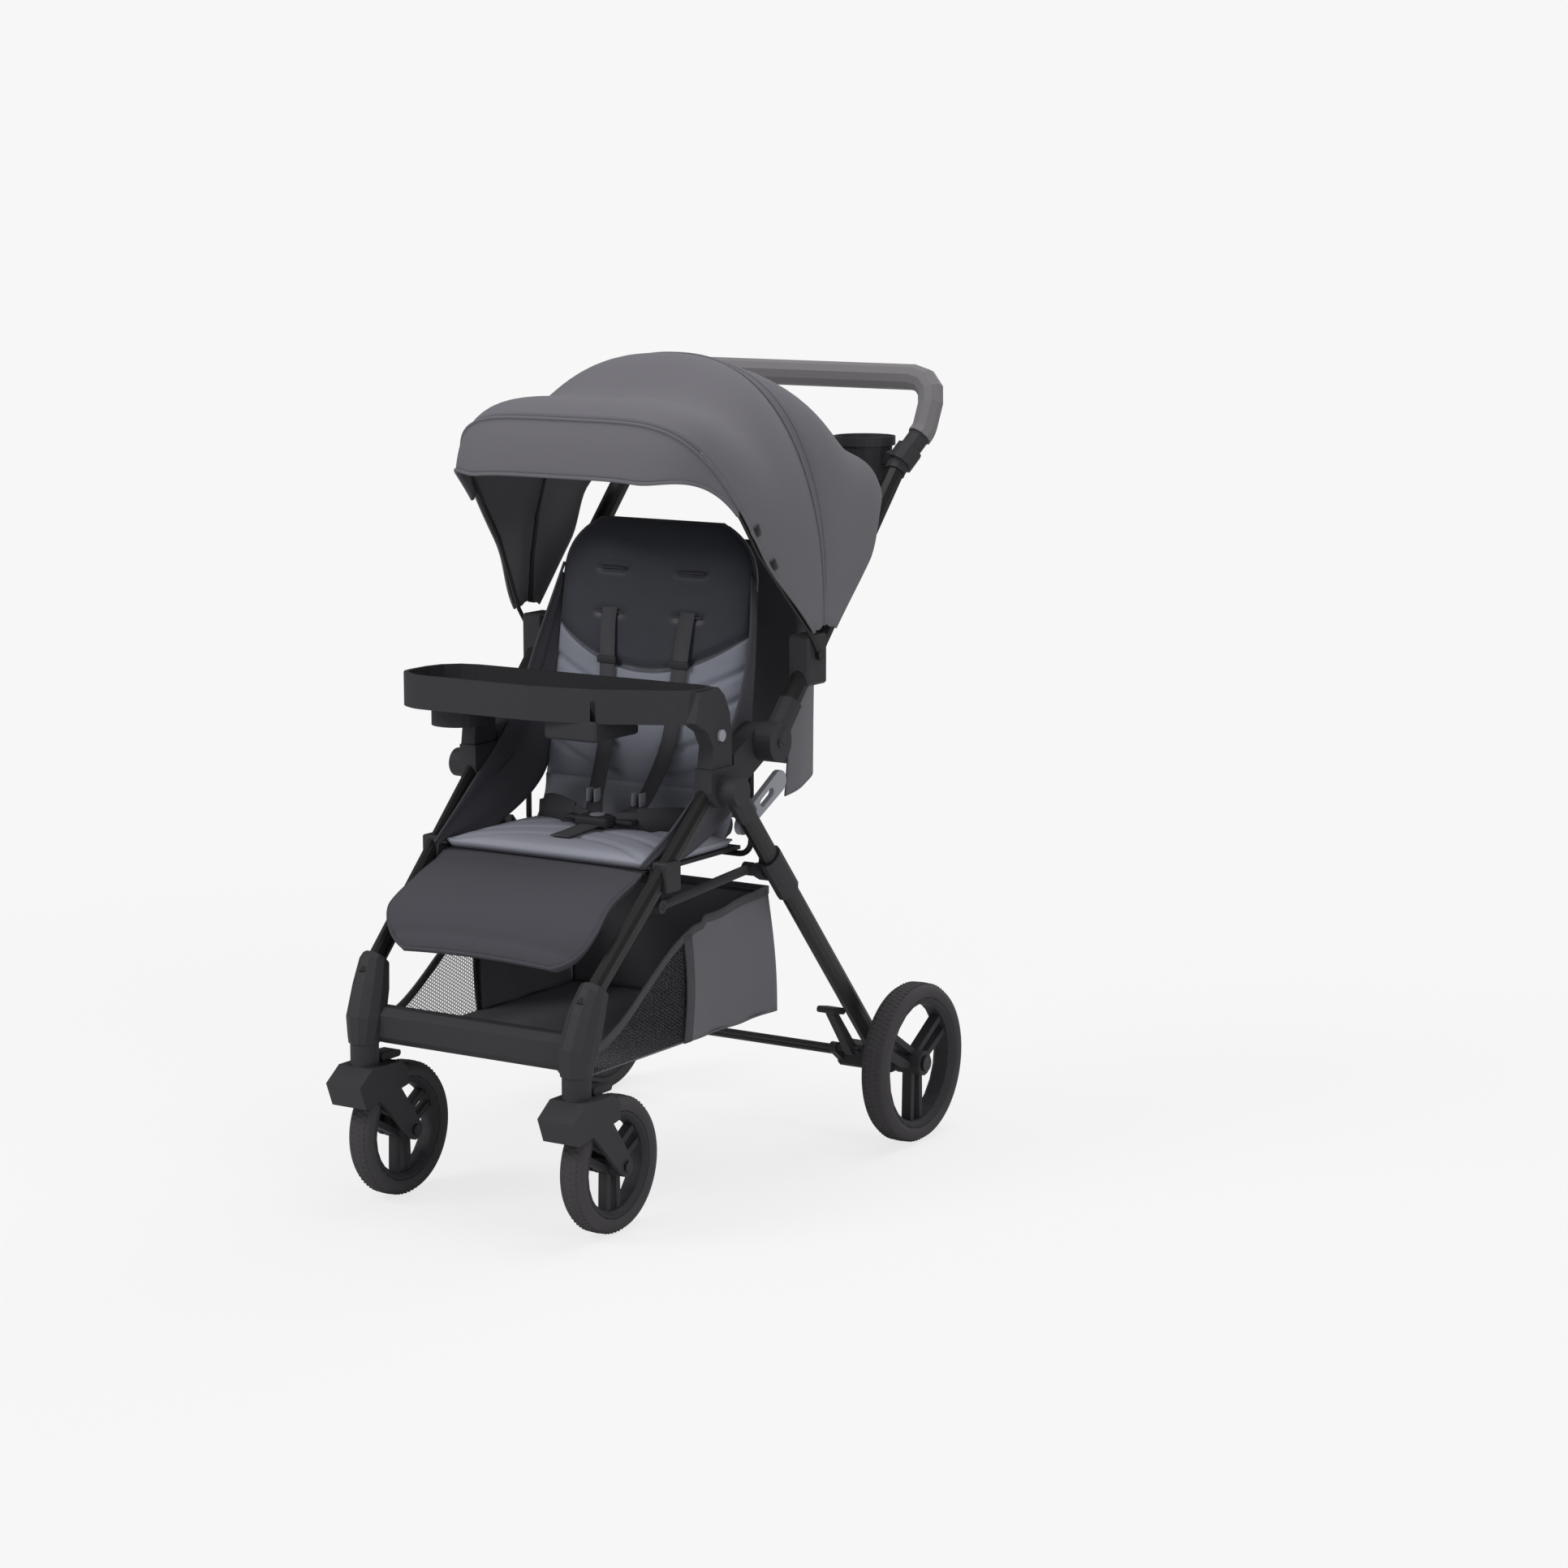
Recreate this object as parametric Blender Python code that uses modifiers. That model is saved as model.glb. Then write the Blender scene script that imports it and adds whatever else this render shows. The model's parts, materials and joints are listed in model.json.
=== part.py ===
"""Travel system stroller, built as separate pieces at real size.

Metres, +Z up. The stroller faces -Y and stands on Z = 0. The origin is below the
middle of the whole length. Heights are true; lengths along Y are first measured
from the front axle and then shifted by Y_SHIFT. The child's left side is +X.
"""
import math

import bmesh
import bpy
from mathutils import Matrix, Vector

# Fits between neighbouring pieces
GAP = 0.0003
RUN = 0.0006

# Wheels and castors
FRONT_WHEEL_R = 0.0883
REAR_WHEEL_R = 0.1097
WHEELBASE = 0.5839
FRONT_TRACK = 0.332
REAR_TRACK = 0.5228
FRONT_TYRE_W = 0.036
REAR_TYRE_W = 0.040
TYRE_DEPTH = 0.020
RIM_DEPTH = 0.0085
WHEEL_SIDES = 24
CASTOR_TRAIL = 0.0679
POST_R = 0.0185
POST_TOP = 0.2145
POST_FOOT = 0.150
HOOD_REACH = 0.045
HOOD_GAP = 0.005
FORK_ARM = 0.0065
FORK_GAP = 0.003
KINGPIN_R = 0.006
FRONT_BOLT_R = 0.004
REAR_AXLE_R = 0.006
BRAKE_ROD = (WHEELBASE - 0.0320, REAR_WHEEL_R + 0.0133)
BRAKE_ROD_R = 0.004

# Frame
SLEEVE_R = 0.0195
LEG_FOOT = (0.171, -0.0345, 0.3166)
LEG_HEAD = (0.1850, 0.2080, 0.5380)
LEG_HALF_X = 0.009
LEG_HALF_DEPTH = 0.015
LEG_IN_SLEEVE = 0.030
CROSSBAR_Y = -0.050
CROSSBAR_DEPTH = 0.034
CROSSBAR_Z = 0.2385
CROSSBAR_HEIGHT = 0.046
BRACKET_X = (0.1735, 0.1995)
BRACKET_R = 0.024
KNUCKLE = (0.305, 0.585)
KNUCKLE_R = 0.026
REAR_PIVOT = (0.214, 0.533)
REAR_CAP_R = 0.019
OUTER_X = (0.1998, 0.2265)
REAR_LEG_X = 0.2125
REAR_LEG_HALF_X = 0.0112
REAR_LEG_HALF_DEPTH = 0.0145
COLLAR_REACH = 0.163
LATCH_REACH = 0.070
RAIL_FRONT = (0.0963, 0.4005)
RAIL_REAR = (0.3035, 0.4150)
RAIL_X = 0.1775
RAIL_R = 0.0065
HANGER_X = 0.1785
HANGER_R = 0.004
HANGER_Y = 0.308

# Push frame and handle
PUSH_X = 0.2135
PUSH_R = 0.0134
PUSH_SLOPE = math.radians(46.9)
PUSH_LENGTH = 0.445
HANDLE_HALF_W = 0.234
HANDLE_Y = 0.685
HANDLE_Z = 1.0326
HANDLE_R = 0.0150
HANDLE_BEND = 0.050
GRIP_R = 0.0175
CUP_X, CUP_Y, CUP_TOP = 0.157, 0.624, 0.956
CUP_R = 0.0425
CUP_FOOT_R = 0.034
CUP_HEIGHT = 0.070
CUP_WALL = 0.0025

# Canopy
CANOPY_PIVOT = (0.3885, 0.6900)
CANOPY_FOOT_W = 0.240
CANOPY_WAIST = (0.036, 0.170)
FRONT_HALF_W = 0.214
TOP_HALF_W = 0.243
CANOPY_WALL = 0.003
BOW_R = 0.003
BOW_INSET = CANOPY_WALL + GAP + BOW_R + 0.0003
BOW_X = CANOPY_FOOT_W - BOW_INSET
FRONT_BOW_ANGLE = math.radians(127)
REAR_BOW_ANGLE = math.radians(88)
SEAM = math.radians(0.45)
REAR_EDGE_ANGLE = math.radians(46)
REAR_EDGE_LIFT = math.radians(6)
FRONT_ARCH = 0.392
TOP_ARCH = 0.383
REAR_ARCH = 0.287
FRONT_SLACK = 0.036
REAR_SLACK = 0.030
FRONT_BOW_POWER = 5.0
REAR_BOW_POWER = 2.3
REAR_EDGE_POWER = 10.0
HOOP_BAND = 0.074
VISOR_ANGLE = math.radians(137)
VISOR_ARCH = 0.356
VISOR_END = 0.52
VISOR_SEAM = math.radians(0.37)

# Seat
SEAT_HALF_W = 0.157
PAN_BOTTOM = 0.4370
PAN_THICK = 0.005
PAN_Y = (0.096, 0.316)
CUSHION_THICK = 0.024
BIGHT = (0.332, 0.462)
BIGHT_R = 0.015
BACK_SLOPE = math.radians(82.3)
BACK_LENGTH = 0.395
BACK_HALF_W = 0.158
BACK_THICK = 0.034
LEG_REST_FRONT = (-0.060, 0.360)
LEG_REST_THICK = 0.022
SWELL = 0.25
BACK_TUCK = 0.005
CHANNEL_DEPTH = 0.0055
SEAM_RISE = 0.198
CHANNEL_DROPS = (0.052, 0.125)
PUCKER_DEPTH = 0.0030
PUCKERS = 240
SHELL_X = 0.186
SHELL_WALL = 0.003

# Harness
STRAP_W = 0.022
STRAP_THICK = 0.0016
BUCKLE_Y = 0.215
BUCKLE_HALF = (0.026, 0.018)

# Basket
BASKET_HALF_W = 0.168
BASKET_FLOOR = 0.206
BASKET_FRONT = CROSSBAR_Y + CROSSBAR_DEPTH / 2 + GAP
BASKET_REAR = 0.392
BASKET_TOP = 0.376
BASKET_LIP = 0.236
BASKET_WALL = 0.003

# Tray
TRAY_HALF_W = 0.232
TRAY_Y = (0.078, 0.206)
TRAY_Z = (0.624, 0.668)
TRAY_WALL = 0.006
TRAY_ARM_X = (0.1765, 0.1985)
TRAY_POST = (0.187, 0.209)
TRAY_POST_R = 0.005
SHELF_Z = 0.563

# The length runs from the castor hoods to the back of the grip.
FRONT_END = -CASTOR_TRAIL - HOOD_REACH
REAR_END = HANDLE_Y + GRIP_R
Y_SHIFT = -(FRONT_END + REAR_END) / 2

COLOURS = {
    "black_plastic": ((0.020, 0.020, 0.022), 0.50, 0.0),
    "black_tube": ((0.012, 0.012, 0.013), 0.28, 0.4),
    "tyre": ((0.042, 0.041, 0.043), 0.75, 0.0),
    "grip_foam": ((0.155, 0.150, 0.157), 0.90, 0.0),
    "canopy_cloth": ((0.120, 0.116, 0.132), 0.85, 0.0),
    "seat_satin": ((0.050, 0.052, 0.064), 0.55, 0.0),
    "seat_light": ((0.290, 0.300, 0.350), 0.80, 0.0),
    "webbing": ((0.055, 0.055, 0.062), 0.80, 0.0),
    "latch_grey": ((0.270, 0.280, 0.310), 0.55, 0.0),
}

for old in list(bpy.data.objects):
    bpy.data.objects.remove(old, do_unlink=True)
PARTS = bpy.data.collections.new("travel_system_stroller")
CUTTERS = bpy.data.collections.new("cutters")
bpy.context.scene.collection.children.link(PARTS)
bpy.context.scene.collection.children.link(CUTTERS)


def material(key):
    """The Principled material of one finish."""
    found = bpy.data.materials.get(key)
    if found:
        return found
    colour, roughness, metallic = COLOURS[key]
    made = bpy.data.materials.new(key)
    made.use_nodes = True
    shader = made.node_tree.nodes["Principled BSDF"]
    shader.inputs["Base Color"].default_value = (*colour, 1.0)
    shader.inputs["Roughness"].default_value = roughness
    shader.inputs["Metallic"].default_value = metallic
    made.diffuse_color = (*colour, 1.0)
    return made


def at(x, y, z):
    """A point given with its length measured from the front axle."""
    return Vector((x, y + Y_SHIFT, z))


def side_point(x, yz):
    """A point at width x on a side-view place (y, z)."""
    return at(x, yz[0], yz[1])


def along(start, slope, distance):
    """The side-view place at a distance from another, up a slope."""
    return (start[0] + distance * math.cos(slope), start[1] + distance * math.sin(slope))


# Shapes, each returned as a bmesh


def box(low, high, bevel=0.0, segments=1):
    bm = bmesh.new()
    bmesh.ops.create_cube(bm, size=1.0)
    low, high = Vector(low), Vector(high)
    for vert in bm.verts:
        vert.co = Vector(low[i] + (vert.co[i] + 0.5) * (high[i] - low[i]) for i in range(3))
    if bevel:
        bmesh.ops.bevel(bm, geom=bm.edges[:], offset=bevel, segments=segments,
                        affect="EDGES", profile=0.5)
    return bm


def side_box(x, y, z, bevel=0.0):
    """A box between two widths, two lengths from the front axle and two heights."""
    return box(at(min(x), y[0], z[0]), at(max(x), y[1], z[1]), bevel)


def rod(start, end, radius, sides=16, end_radius=None):
    """A round bar or cone between two points."""
    start, end = Vector(start), Vector(end)
    bm = bmesh.new()
    bmesh.ops.create_cone(bm, cap_ends=True, segments=sides, radius1=radius,
                          radius2=radius if end_radius is None else end_radius,
                          depth=(end - start).length)
    turn = (end - start).to_track_quat("Z", "Y").to_matrix().to_4x4()
    bmesh.ops.transform(bm, matrix=Matrix.Translation((start + end) / 2) @ turn, verts=bm.verts)
    return bm


def cross_rod(x, yz, radius, sides=16):
    """A round bar along X between two widths."""
    return rod(side_point(x[0], yz), side_point(x[1], yz), radius, sides)


def prism(outline, x):
    """A side-view outline of (y, z) places, extruded between two widths."""
    bm = bmesh.new()
    near, far = min(x), max(x)
    lower = [bm.verts.new(side_point(near, place)) for place in outline]
    upper = [bm.verts.new(side_point(far, place)) for place in outline]
    count = len(outline)
    bm.faces.new(lower)
    bm.faces.new(upper[::-1])
    for i in range(count):
        bm.faces.new((lower[i], upper[i], upper[(i + 1) % count], lower[(i + 1) % count]))
    bmesh.ops.recalc_face_normals(bm, faces=bm.faces)
    return bm


def capsule(start, end, start_r, end_r, steps=8):
    """The side-view outline round two circles."""
    slope = math.atan2(end[1] - start[1], end[0] - start[0])
    places = []
    for centre, radius, first in ((end, end_r, -math.pi / 2), (start, start_r, math.pi / 2)):
        for i in range(steps + 1):
            turn = slope + first + math.pi * i / steps
            places.append((centre[0] + radius * math.cos(turn),
                           centre[1] + radius * math.sin(turn)))
    return places


def rounded(points, radius, steps=5):
    """A path whose inner corners are arcs of one radius."""
    points = [Vector(p) for p in points]
    path = [points[0]]
    for before, corner, after in zip(points, points[1:], points[2:]):
        into, out = (before - corner).normalized(), (after - corner).normalized()
        half = into.angle(out) / 2
        reach = min(radius / math.tan(half), 0.49 * (before - corner).length,
                    0.49 * (after - corner).length)
        centre = corner + (into + out).normalized() * reach / math.cos(half)
        first, last = corner + into * reach, corner + out * reach
        sweep = (first - centre).angle(last - centre)
        for i in range(steps + 1):
            share = i / steps
            arm = ((first - centre) * math.sin((1 - share) * sweep)
                   + (last - centre) * math.sin(share * sweep)) / math.sin(sweep)
            path.append(centre + arm)
    path.append(points[-1])
    return path


def tube(points, radius, sides=10, taper=None):
    """A round or oval tube along a path, mitred at its corners.

    radius is one number, or the half width along X and the half depth of an oval.
    """
    half_x, half_depth = radius if isinstance(radius, tuple) else (radius, radius)
    points = [Vector(p) for p in points]
    bm = bmesh.new()
    rings = []
    for i, place in enumerate(points):
        before = (place - points[i - 1] if i else points[1] - place).normalized()
        after = (points[i + 1] - place).normalized() if i + 1 < len(points) else before
        if i == 0:
            side = (Vector((1, 0, 0)) - before * before.x).normalized()
        middle = (before + after).normalized()
        up = before.cross(side)
        grow = taper[i] if taper else 1.0
        ring = []
        for k in range(sides):
            turn = 2 * math.pi * (k + 0.5) / sides
            arm = (side * half_x * math.cos(turn) + up * half_depth * math.sin(turn)) * grow
            ring.append(bm.verts.new(place + arm - before * (arm.dot(middle) / before.dot(middle))))
        rings.append(ring)
        side = before.rotation_difference(after) @ side
    for here, there in zip(rings, rings[1:]):
        for k in range(sides):
            n = (k + 1) % sides
            bm.faces.new((here[k], here[n], there[n], there[k]))
    bm.faces.new(rings[0][::-1])
    bm.faces.new(rings[-1])
    bmesh.ops.recalc_face_normals(bm, faces=bm.faces)
    return bm


def ring_profile(profile, centre, sides):
    """A turned ring about an X axis from (x offset, radius) pairs, closed on itself."""
    bm = bmesh.new()
    rings = []
    for i in range(sides):
        turn = 2 * math.pi * i / sides
        rings.append([bm.verts.new(Vector(centre) + Vector((dx, r * math.cos(turn),
                                                            r * math.sin(turn))))
                      for dx, r in profile])
    count = len(profile)
    for i in range(sides):
        here, there = rings[i], rings[(i + 1) % sides]
        for j in range(count):
            k = (j + 1) % count
            bm.faces.new((here[j], here[k], there[k], there[j]))
    bmesh.ops.recalc_face_normals(bm, faces=bm.faces)
    return bm


def sheet(point, across, down):
    """A surface from a function of two shares, facing whichever way its faces are wound."""
    bm = bmesh.new()
    grid = [[bm.verts.new(point(i / across, j / down)) for i in range(across + 1)]
            for j in range(down + 1)]
    for j in range(down):
        for i in range(across):
            bm.faces.new((grid[j][i], grid[j][i + 1], grid[j + 1][i + 1], grid[j + 1][i]))
    return bm


def band(points, width, thickness):
    """A flat strap whose width lies along X, along a list of points."""
    bm = bmesh.new()
    rings = []
    for i, place in enumerate(points):
        before, after = points[max(i - 1, 0)], points[min(i + 1, len(points) - 1)]
        travel = (Vector(after) - Vector(before)).normalized()
        normal = travel.cross(Vector((1, 0, 0))).normalized() * thickness / 2
        side = Vector((width / 2, 0, 0))
        place = Vector(place)
        rings.append([bm.verts.new(place + a) for a in
                      (side + normal, normal - side, -side - normal, side - normal)])
    for here, there in zip(rings, rings[1:]):
        for j in range(4):
            k = (j + 1) % 4
            bm.faces.new((here[j], here[k], there[k], there[j]))
    bm.faces.new(rings[0][::-1])
    bm.faces.new(rings[-1])
    bmesh.ops.recalc_face_normals(bm, faces=bm.faces)
    return bm


def mirrored(shape):
    """A copy on the other side of the middle plane."""
    copy = shape.copy()
    bmesh.ops.scale(copy, vec=(-1, 1, 1), verts=copy.verts)
    bmesh.ops.reverse_faces(copy, faces=copy.faces)
    return copy


def put(name, shape, finish, add=(), cut=(), late=(), wall=0.0, sharp=35):
    """A named piece: shapes are joined to it, then cut from it, then more are joined late."""
    mesh = bpy.data.meshes.new(name)
    shape.to_mesh(mesh)
    piece = bpy.data.objects.new(name, mesh)
    mesh.materials.append(material(finish))
    PARTS.objects.link(piece)
    if wall:
        shell = piece.modifiers.new("wall", "SOLIDIFY")
        shell.thickness = wall
        shell.offset = -1.0
        shell.use_even_offset = True
    for operation, others in (("UNION", add), ("DIFFERENCE", cut), ("UNION", late)):
        for other in others:
            tool_mesh = bpy.data.meshes.new(f"{name}_tool_{len(piece.modifiers)}")
            other.to_mesh(tool_mesh)
            tool = bpy.data.objects.new(tool_mesh.name, tool_mesh)
            tool.display_type = "WIRE"
            tool.hide_render = True
            CUTTERS.objects.link(tool)
            step = piece.modifiers.new(tool.name, "BOOLEAN")
            step.operation = operation
            step.object = tool
            step.solver = "EXACT"
    mesh.shade_smooth()
    mesh.set_sharp_from_angle(angle=math.radians(sharp))
    return piece


SIDES = (("left", 1), ("right", -1))


def both(name, make, finish, **options):
    """A left piece and its mirror image on the right."""
    for side, sign in SIDES:
        shape, *tools = make()
        if sign < 0:
            shape = mirrored(shape)
            tools = [[mirrored(tool) for tool in group] for group in tools]
        add, cut, late = (tools + [[], [], []])[:3]
        put(f"{name}_{side}", shape, finish, add=add, cut=cut, late=late, **options)


# Front frame


def leg_shape(extra=0.0, longer=0.0):
    """The oval front leg, or a larger copy of it that cuts its sockets."""
    foot, head = at(*LEG_FOOT), at(*LEG_HEAD)
    travel = (head - foot).normalized()
    return tube([foot - travel * (LEG_IN_SLEEVE + extra), head + travel * longer],
                (LEG_HALF_X + extra, LEG_HALF_DEPTH + extra), sides=12)


def front_casting():
    """The moulded crossbar with a sleeve for each leg and a kingpin for each castor."""
    foot_x = FRONT_TRACK / 2
    base = POST_TOP + RUN
    places = [at(foot_x, -CASTOR_TRAIL, base), at(foot_x, -CASTOR_TRAIL, base + 0.008),
              at(foot_x, -CASTOR_TRAIL + 0.004, base + 0.030),
              at(foot_x + 0.002, -CASTOR_TRAIL + 0.018, base + 0.070),
              at(LEG_FOOT[0], LEG_FOOT[1] - 0.004, LEG_FOOT[2] - 0.004), at(*LEG_FOOT)]
    swell = [1.05, 1.10, 1.32, 1.22, 1.02, 0.97]
    sleeve = tube(places, SLEEVE_R, sides=12, taper=swell)
    pin = rod(at(foot_x, -CASTOR_TRAIL, POST_TOP - 0.040), at(foot_x, -CASTOR_TRAIL, base + 0.010),
              KINGPIN_R, 16)
    bar = side_box((-foot_x, foot_x), (CROSSBAR_Y - CROSSBAR_DEPTH / 2,
                                       CROSSBAR_Y + CROSSBAR_DEPTH / 2),
                   (CROSSBAR_Z - CROSSBAR_HEIGHT / 2, CROSSBAR_Z + CROSSBAR_HEIGHT / 2), 0.009)
    socket = leg_shape(GAP, 0.05)
    put("front_casting", bar, "black_plastic",
        add=(sleeve, mirrored(sleeve), pin, mirrored(pin)), cut=(socket, mirrored(socket)))


def front_legs():
    both("front_leg", lambda: (leg_shape(),), "black_tube")


def side_brackets():
    """The moulded side joints: leg head, rear leg pivot, handle knuckle and tray shelf."""
    def make():
        low = (REAR_PIVOT[0] - 0.006, REAR_PIVOT[1] + 0.002)
        plate = prism(capsule(low, KNUCKLE, BRACKET_R, BRACKET_R), BRACKET_X)
        y = TRAY_POST[1]
        shelf = side_box(BRACKET_X, (y - 0.025, y + 0.025), (SHELF_Z - 0.030, SHELF_Z), 0.0)
        post = rod(at(TRAY_POST[0], y, SHELF_Z - 0.01), at(TRAY_POST[0], y, SHELF_Z + 0.022),
                   TRAY_POST_R, 16)
        step = side_box((0.15, 0.25), (y - 0.05, y + 0.027), (SHELF_Z, SHELF_Z + 0.05))
        pivots = [cross_rod((BRACKET_X[1] - 0.0035, BRACKET_X[1] + 0.01), REAR_PIVOT,
                            0.0055 + RUN, 16),
                  cross_rod((BRACKET_X[1] - 0.010, BRACKET_X[1] + 0.01), KNUCKLE,
                            0.006 + RUN, 16)]
        hanger = rod(at(HANGER_X, HANGER_Y, KNUCKLE[1] - 0.06),
                     at(HANGER_X, HANGER_Y, KNUCKLE[1] - 0.010), HANGER_R + GAP, 12)
        return plate, [shelf], [step, leg_shape(GAP, GAP), hanger, *pivots], [post]
    both("side_bracket", make, "black_plastic")


def seat_pan():
    """The moulded seat base: a board with a leg clamp and a rail lug at each front corner."""
    y, z = RAIL_FRONT
    board = side_box((-SEAT_HALF_W, SEAT_HALF_W), PAN_Y, (PAN_BOTTOM, PAN_BOTTOM + PAN_THICK))
    inner = RAIL_X - RAIL_R
    rib = side_box((-inner, inner), (PAN_Y[0] + 0.004, PAN_Y[0] + 0.022),
                   (PAN_BOTTOM - 0.010, PAN_BOTTOM + 0.001))
    plate = prism(capsule((y, z), (y + 0.012, z + 0.040), 0.010, 0.016),
                  (inner - 0.0045, inner - RUN))
    clamp = side_box((inner - 0.002, RAIL_X + 0.016), (y - 0.004, y + 0.028),
                     (z + 0.018, z + 0.056), 0.002)
    pin = cross_rod((inner - 0.002, RAIL_X + RAIL_R), RAIL_FRONT, 0.003, 12)
    ear = prism(capsule((PAN_Y[1] - 0.010, PAN_BOTTOM + 0.0026), BIGHT, 0.0025, BIGHT_R),
                (0.105, 0.125))
    ends = [shape for end in (plate, clamp, pin, ear) for shape in (end, mirrored(end))]
    put("seat_pan", board, "black_plastic", add=(rib, *ends),
        cut=(leg_shape(GAP, 0.02), mirrored(leg_shape(GAP, 0.02))))


def seat_hanger():
    """The bent wire that hangs from the side joints and carries the seat's rear edge."""
    low = PAN_BOTTOM - GAP - HANGER_R
    half = [at(HANGER_X, HANGER_Y, KNUCKLE[1] - 0.0115), at(HANGER_X, HANGER_Y, low)]
    path = rounded(half + [Vector((-p.x, p.y, p.z)) for p in half[::-1]], 0.018)
    put("seat_hanger", tube(path, HANGER_R), "black_tube")


# Castors and wheels


def castor(side, sign):
    """One castor fork with its hood, its axle bolt, its lock lever and its wheel."""
    x = sign * FRONT_TRACK / 2
    axle = (0.0, FRONT_WHEEL_R)
    post = rod(at(x, -CASTOR_TRAIL, POST_FOOT), at(x, -CASTOR_TRAIL, POST_TOP), POST_R, 24)
    inner = FRONT_TYRE_W / 2 + FORK_GAP
    outer = inner + FORK_ARM
    crown_top = FRONT_WHEEL_R * 2 + 0.0095
    back = -CASTOR_TRAIL + POST_R
    crown = prism([(FRONT_END, crown_top - 0.0195), (-CASTOR_TRAIL - POST_R, crown_top),
                   (back + 0.020, crown_top), (back + 0.036, crown_top - 0.012),
                   (back + 0.036, crown_top - 0.034), (FRONT_END + 0.012, crown_top - 0.050)],
                  (x - outer, x + outer))
    arms = [prism(capsule((-CASTOR_TRAIL + 0.006, crown_top - 0.024), axle, 0.020, 0.0135),
                  (x + s * inner, x + s * outer)) for s in (1, -1)]
    clearance = cross_rod((x - inner, x + inner), axle, FRONT_WHEEL_R + HOOD_GAP, 40)
    pin = rod(at(x, -CASTOR_TRAIL, POST_TOP - 0.041), at(x, -CASTOR_TRAIL, POST_TOP + 0.01),
              KINGPIN_R + RUN, 16)
    bolt_hole = cross_rod((x - outer - 0.01, x + outer + 0.01), axle, FRONT_BOLT_R + GAP, 12)
    put(f"castor_fork_{side}", post, "black_plastic", add=(crown, *arms),
        cut=(clearance, pin, bolt_hole))
    shank = cross_rod((x - outer - 0.002, x + outer + 0.002), axle, FRONT_BOLT_R, 12)
    heads = [cross_rod((x + s * (outer + GAP), x + s * (outer + 0.0033)), axle, 0.0075, 6 if
             s * sign > 0 else 12) for s in (1, -1)]
    put(f"front_axle_bolt_{side}", shank, "black_tube", add=heads)
    hinge = (back + 0.006, crown_top + 0.0055)
    lever = prism(capsule(hinge, (hinge[0] + 0.030, hinge[1] - 0.0005), 0.0052, 0.0045, 5),
                  (x - 0.012, x + 0.012))
    put(f"swivel_lock_{side}", lever, "black_plastic")
    wheel("front", side, at(x, *axle), FRONT_WHEEL_R, FRONT_TYRE_W, 0.014, FRONT_BOLT_R)


def wheel(name, side, centre, radius, width, boss_r, shaft_r):
    """A tyre with a rounded crown, and a hub with three twin spokes."""
    half = width / 2
    inner = radius - TYRE_DEPTH
    crown = [(0.0, radius), (0.55 * half, radius - 0.0018), (0.92 * half, radius - 0.0085),
             (half, radius - 0.014), (0.80 * half, inner), (-0.80 * half, inner),
             (-half, radius - 0.014), (-0.92 * half, radius - 0.0085),
             (-0.55 * half, radius - 0.0018)]
    put(f"{name}_tyre_{side}", ring_profile(crown, centre, WHEEL_SIDES), "tyre")
    seat = inner - GAP
    rim = [(0.78 * half, seat), (0.78 * half, seat - 0.5 * RIM_DEPTH), (0.5 * half, seat - RIM_DEPTH),
           (-0.5 * half, seat - RIM_DEPTH), (-0.78 * half, seat - 0.5 * RIM_DEPTH),
           (-0.78 * half, seat)]
    boss_half = half - 0.0005
    boss = rod(centre - Vector((boss_half, 0, 0)), centre + Vector((boss_half, 0, 0)), boss_r, 14)
    spokes = []
    for i in range(3):
        turn = -math.pi / 2 + i * 2 * math.pi / 3
        for offset in (-1, 1):
            bar = box((-0.36 * half, 0.006, -0.0042), (0.36 * half, seat - 0.5 * RIM_DEPTH, 0.0042))
            lean = Matrix.Rotation(turn + offset * 0.03, 4, "X")
            shift = Matrix.Translation((0, 0, offset * 0.0095))
            bmesh.ops.transform(bar, matrix=Matrix.Translation(centre) @ lean @ shift,
                                verts=bar.verts)
            spokes.append(bar)
    bore = rod(centre - Vector((0.1, 0, 0)), centre + Vector((0.1, 0, 0)), shaft_r + RUN, 16)
    put(f"{name}_hub_{side}", ring_profile(rim, centre, WHEEL_SIDES), "black_plastic",
        add=(boss, *spokes), cut=(bore,))


# Rear frame


def rear_leg_line():
    """The rear leg's side-view foot, and its slope from the pivot down to the axle."""
    axle = (WHEELBASE, REAR_WHEEL_R)
    return axle, math.atan2(axle[1] - REAR_PIVOT[1], axle[0] - REAR_PIVOT[0])


def rear_leg_shape(extra=0.0, longer=0.0):
    axle, slope = rear_leg_line()
    reach = math.dist(axle, REAR_PIVOT)
    top = along(REAR_PIVOT, slope, 0.010 - longer)
    foot = along(REAR_PIVOT, slope, reach - REAR_AXLE_R - 0.004 + extra)
    return tube([side_point(REAR_LEG_X, top), side_point(REAR_LEG_X, foot)],
                (REAR_LEG_HALF_X + extra, REAR_LEG_HALF_DEPTH + extra), sides=12)


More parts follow.
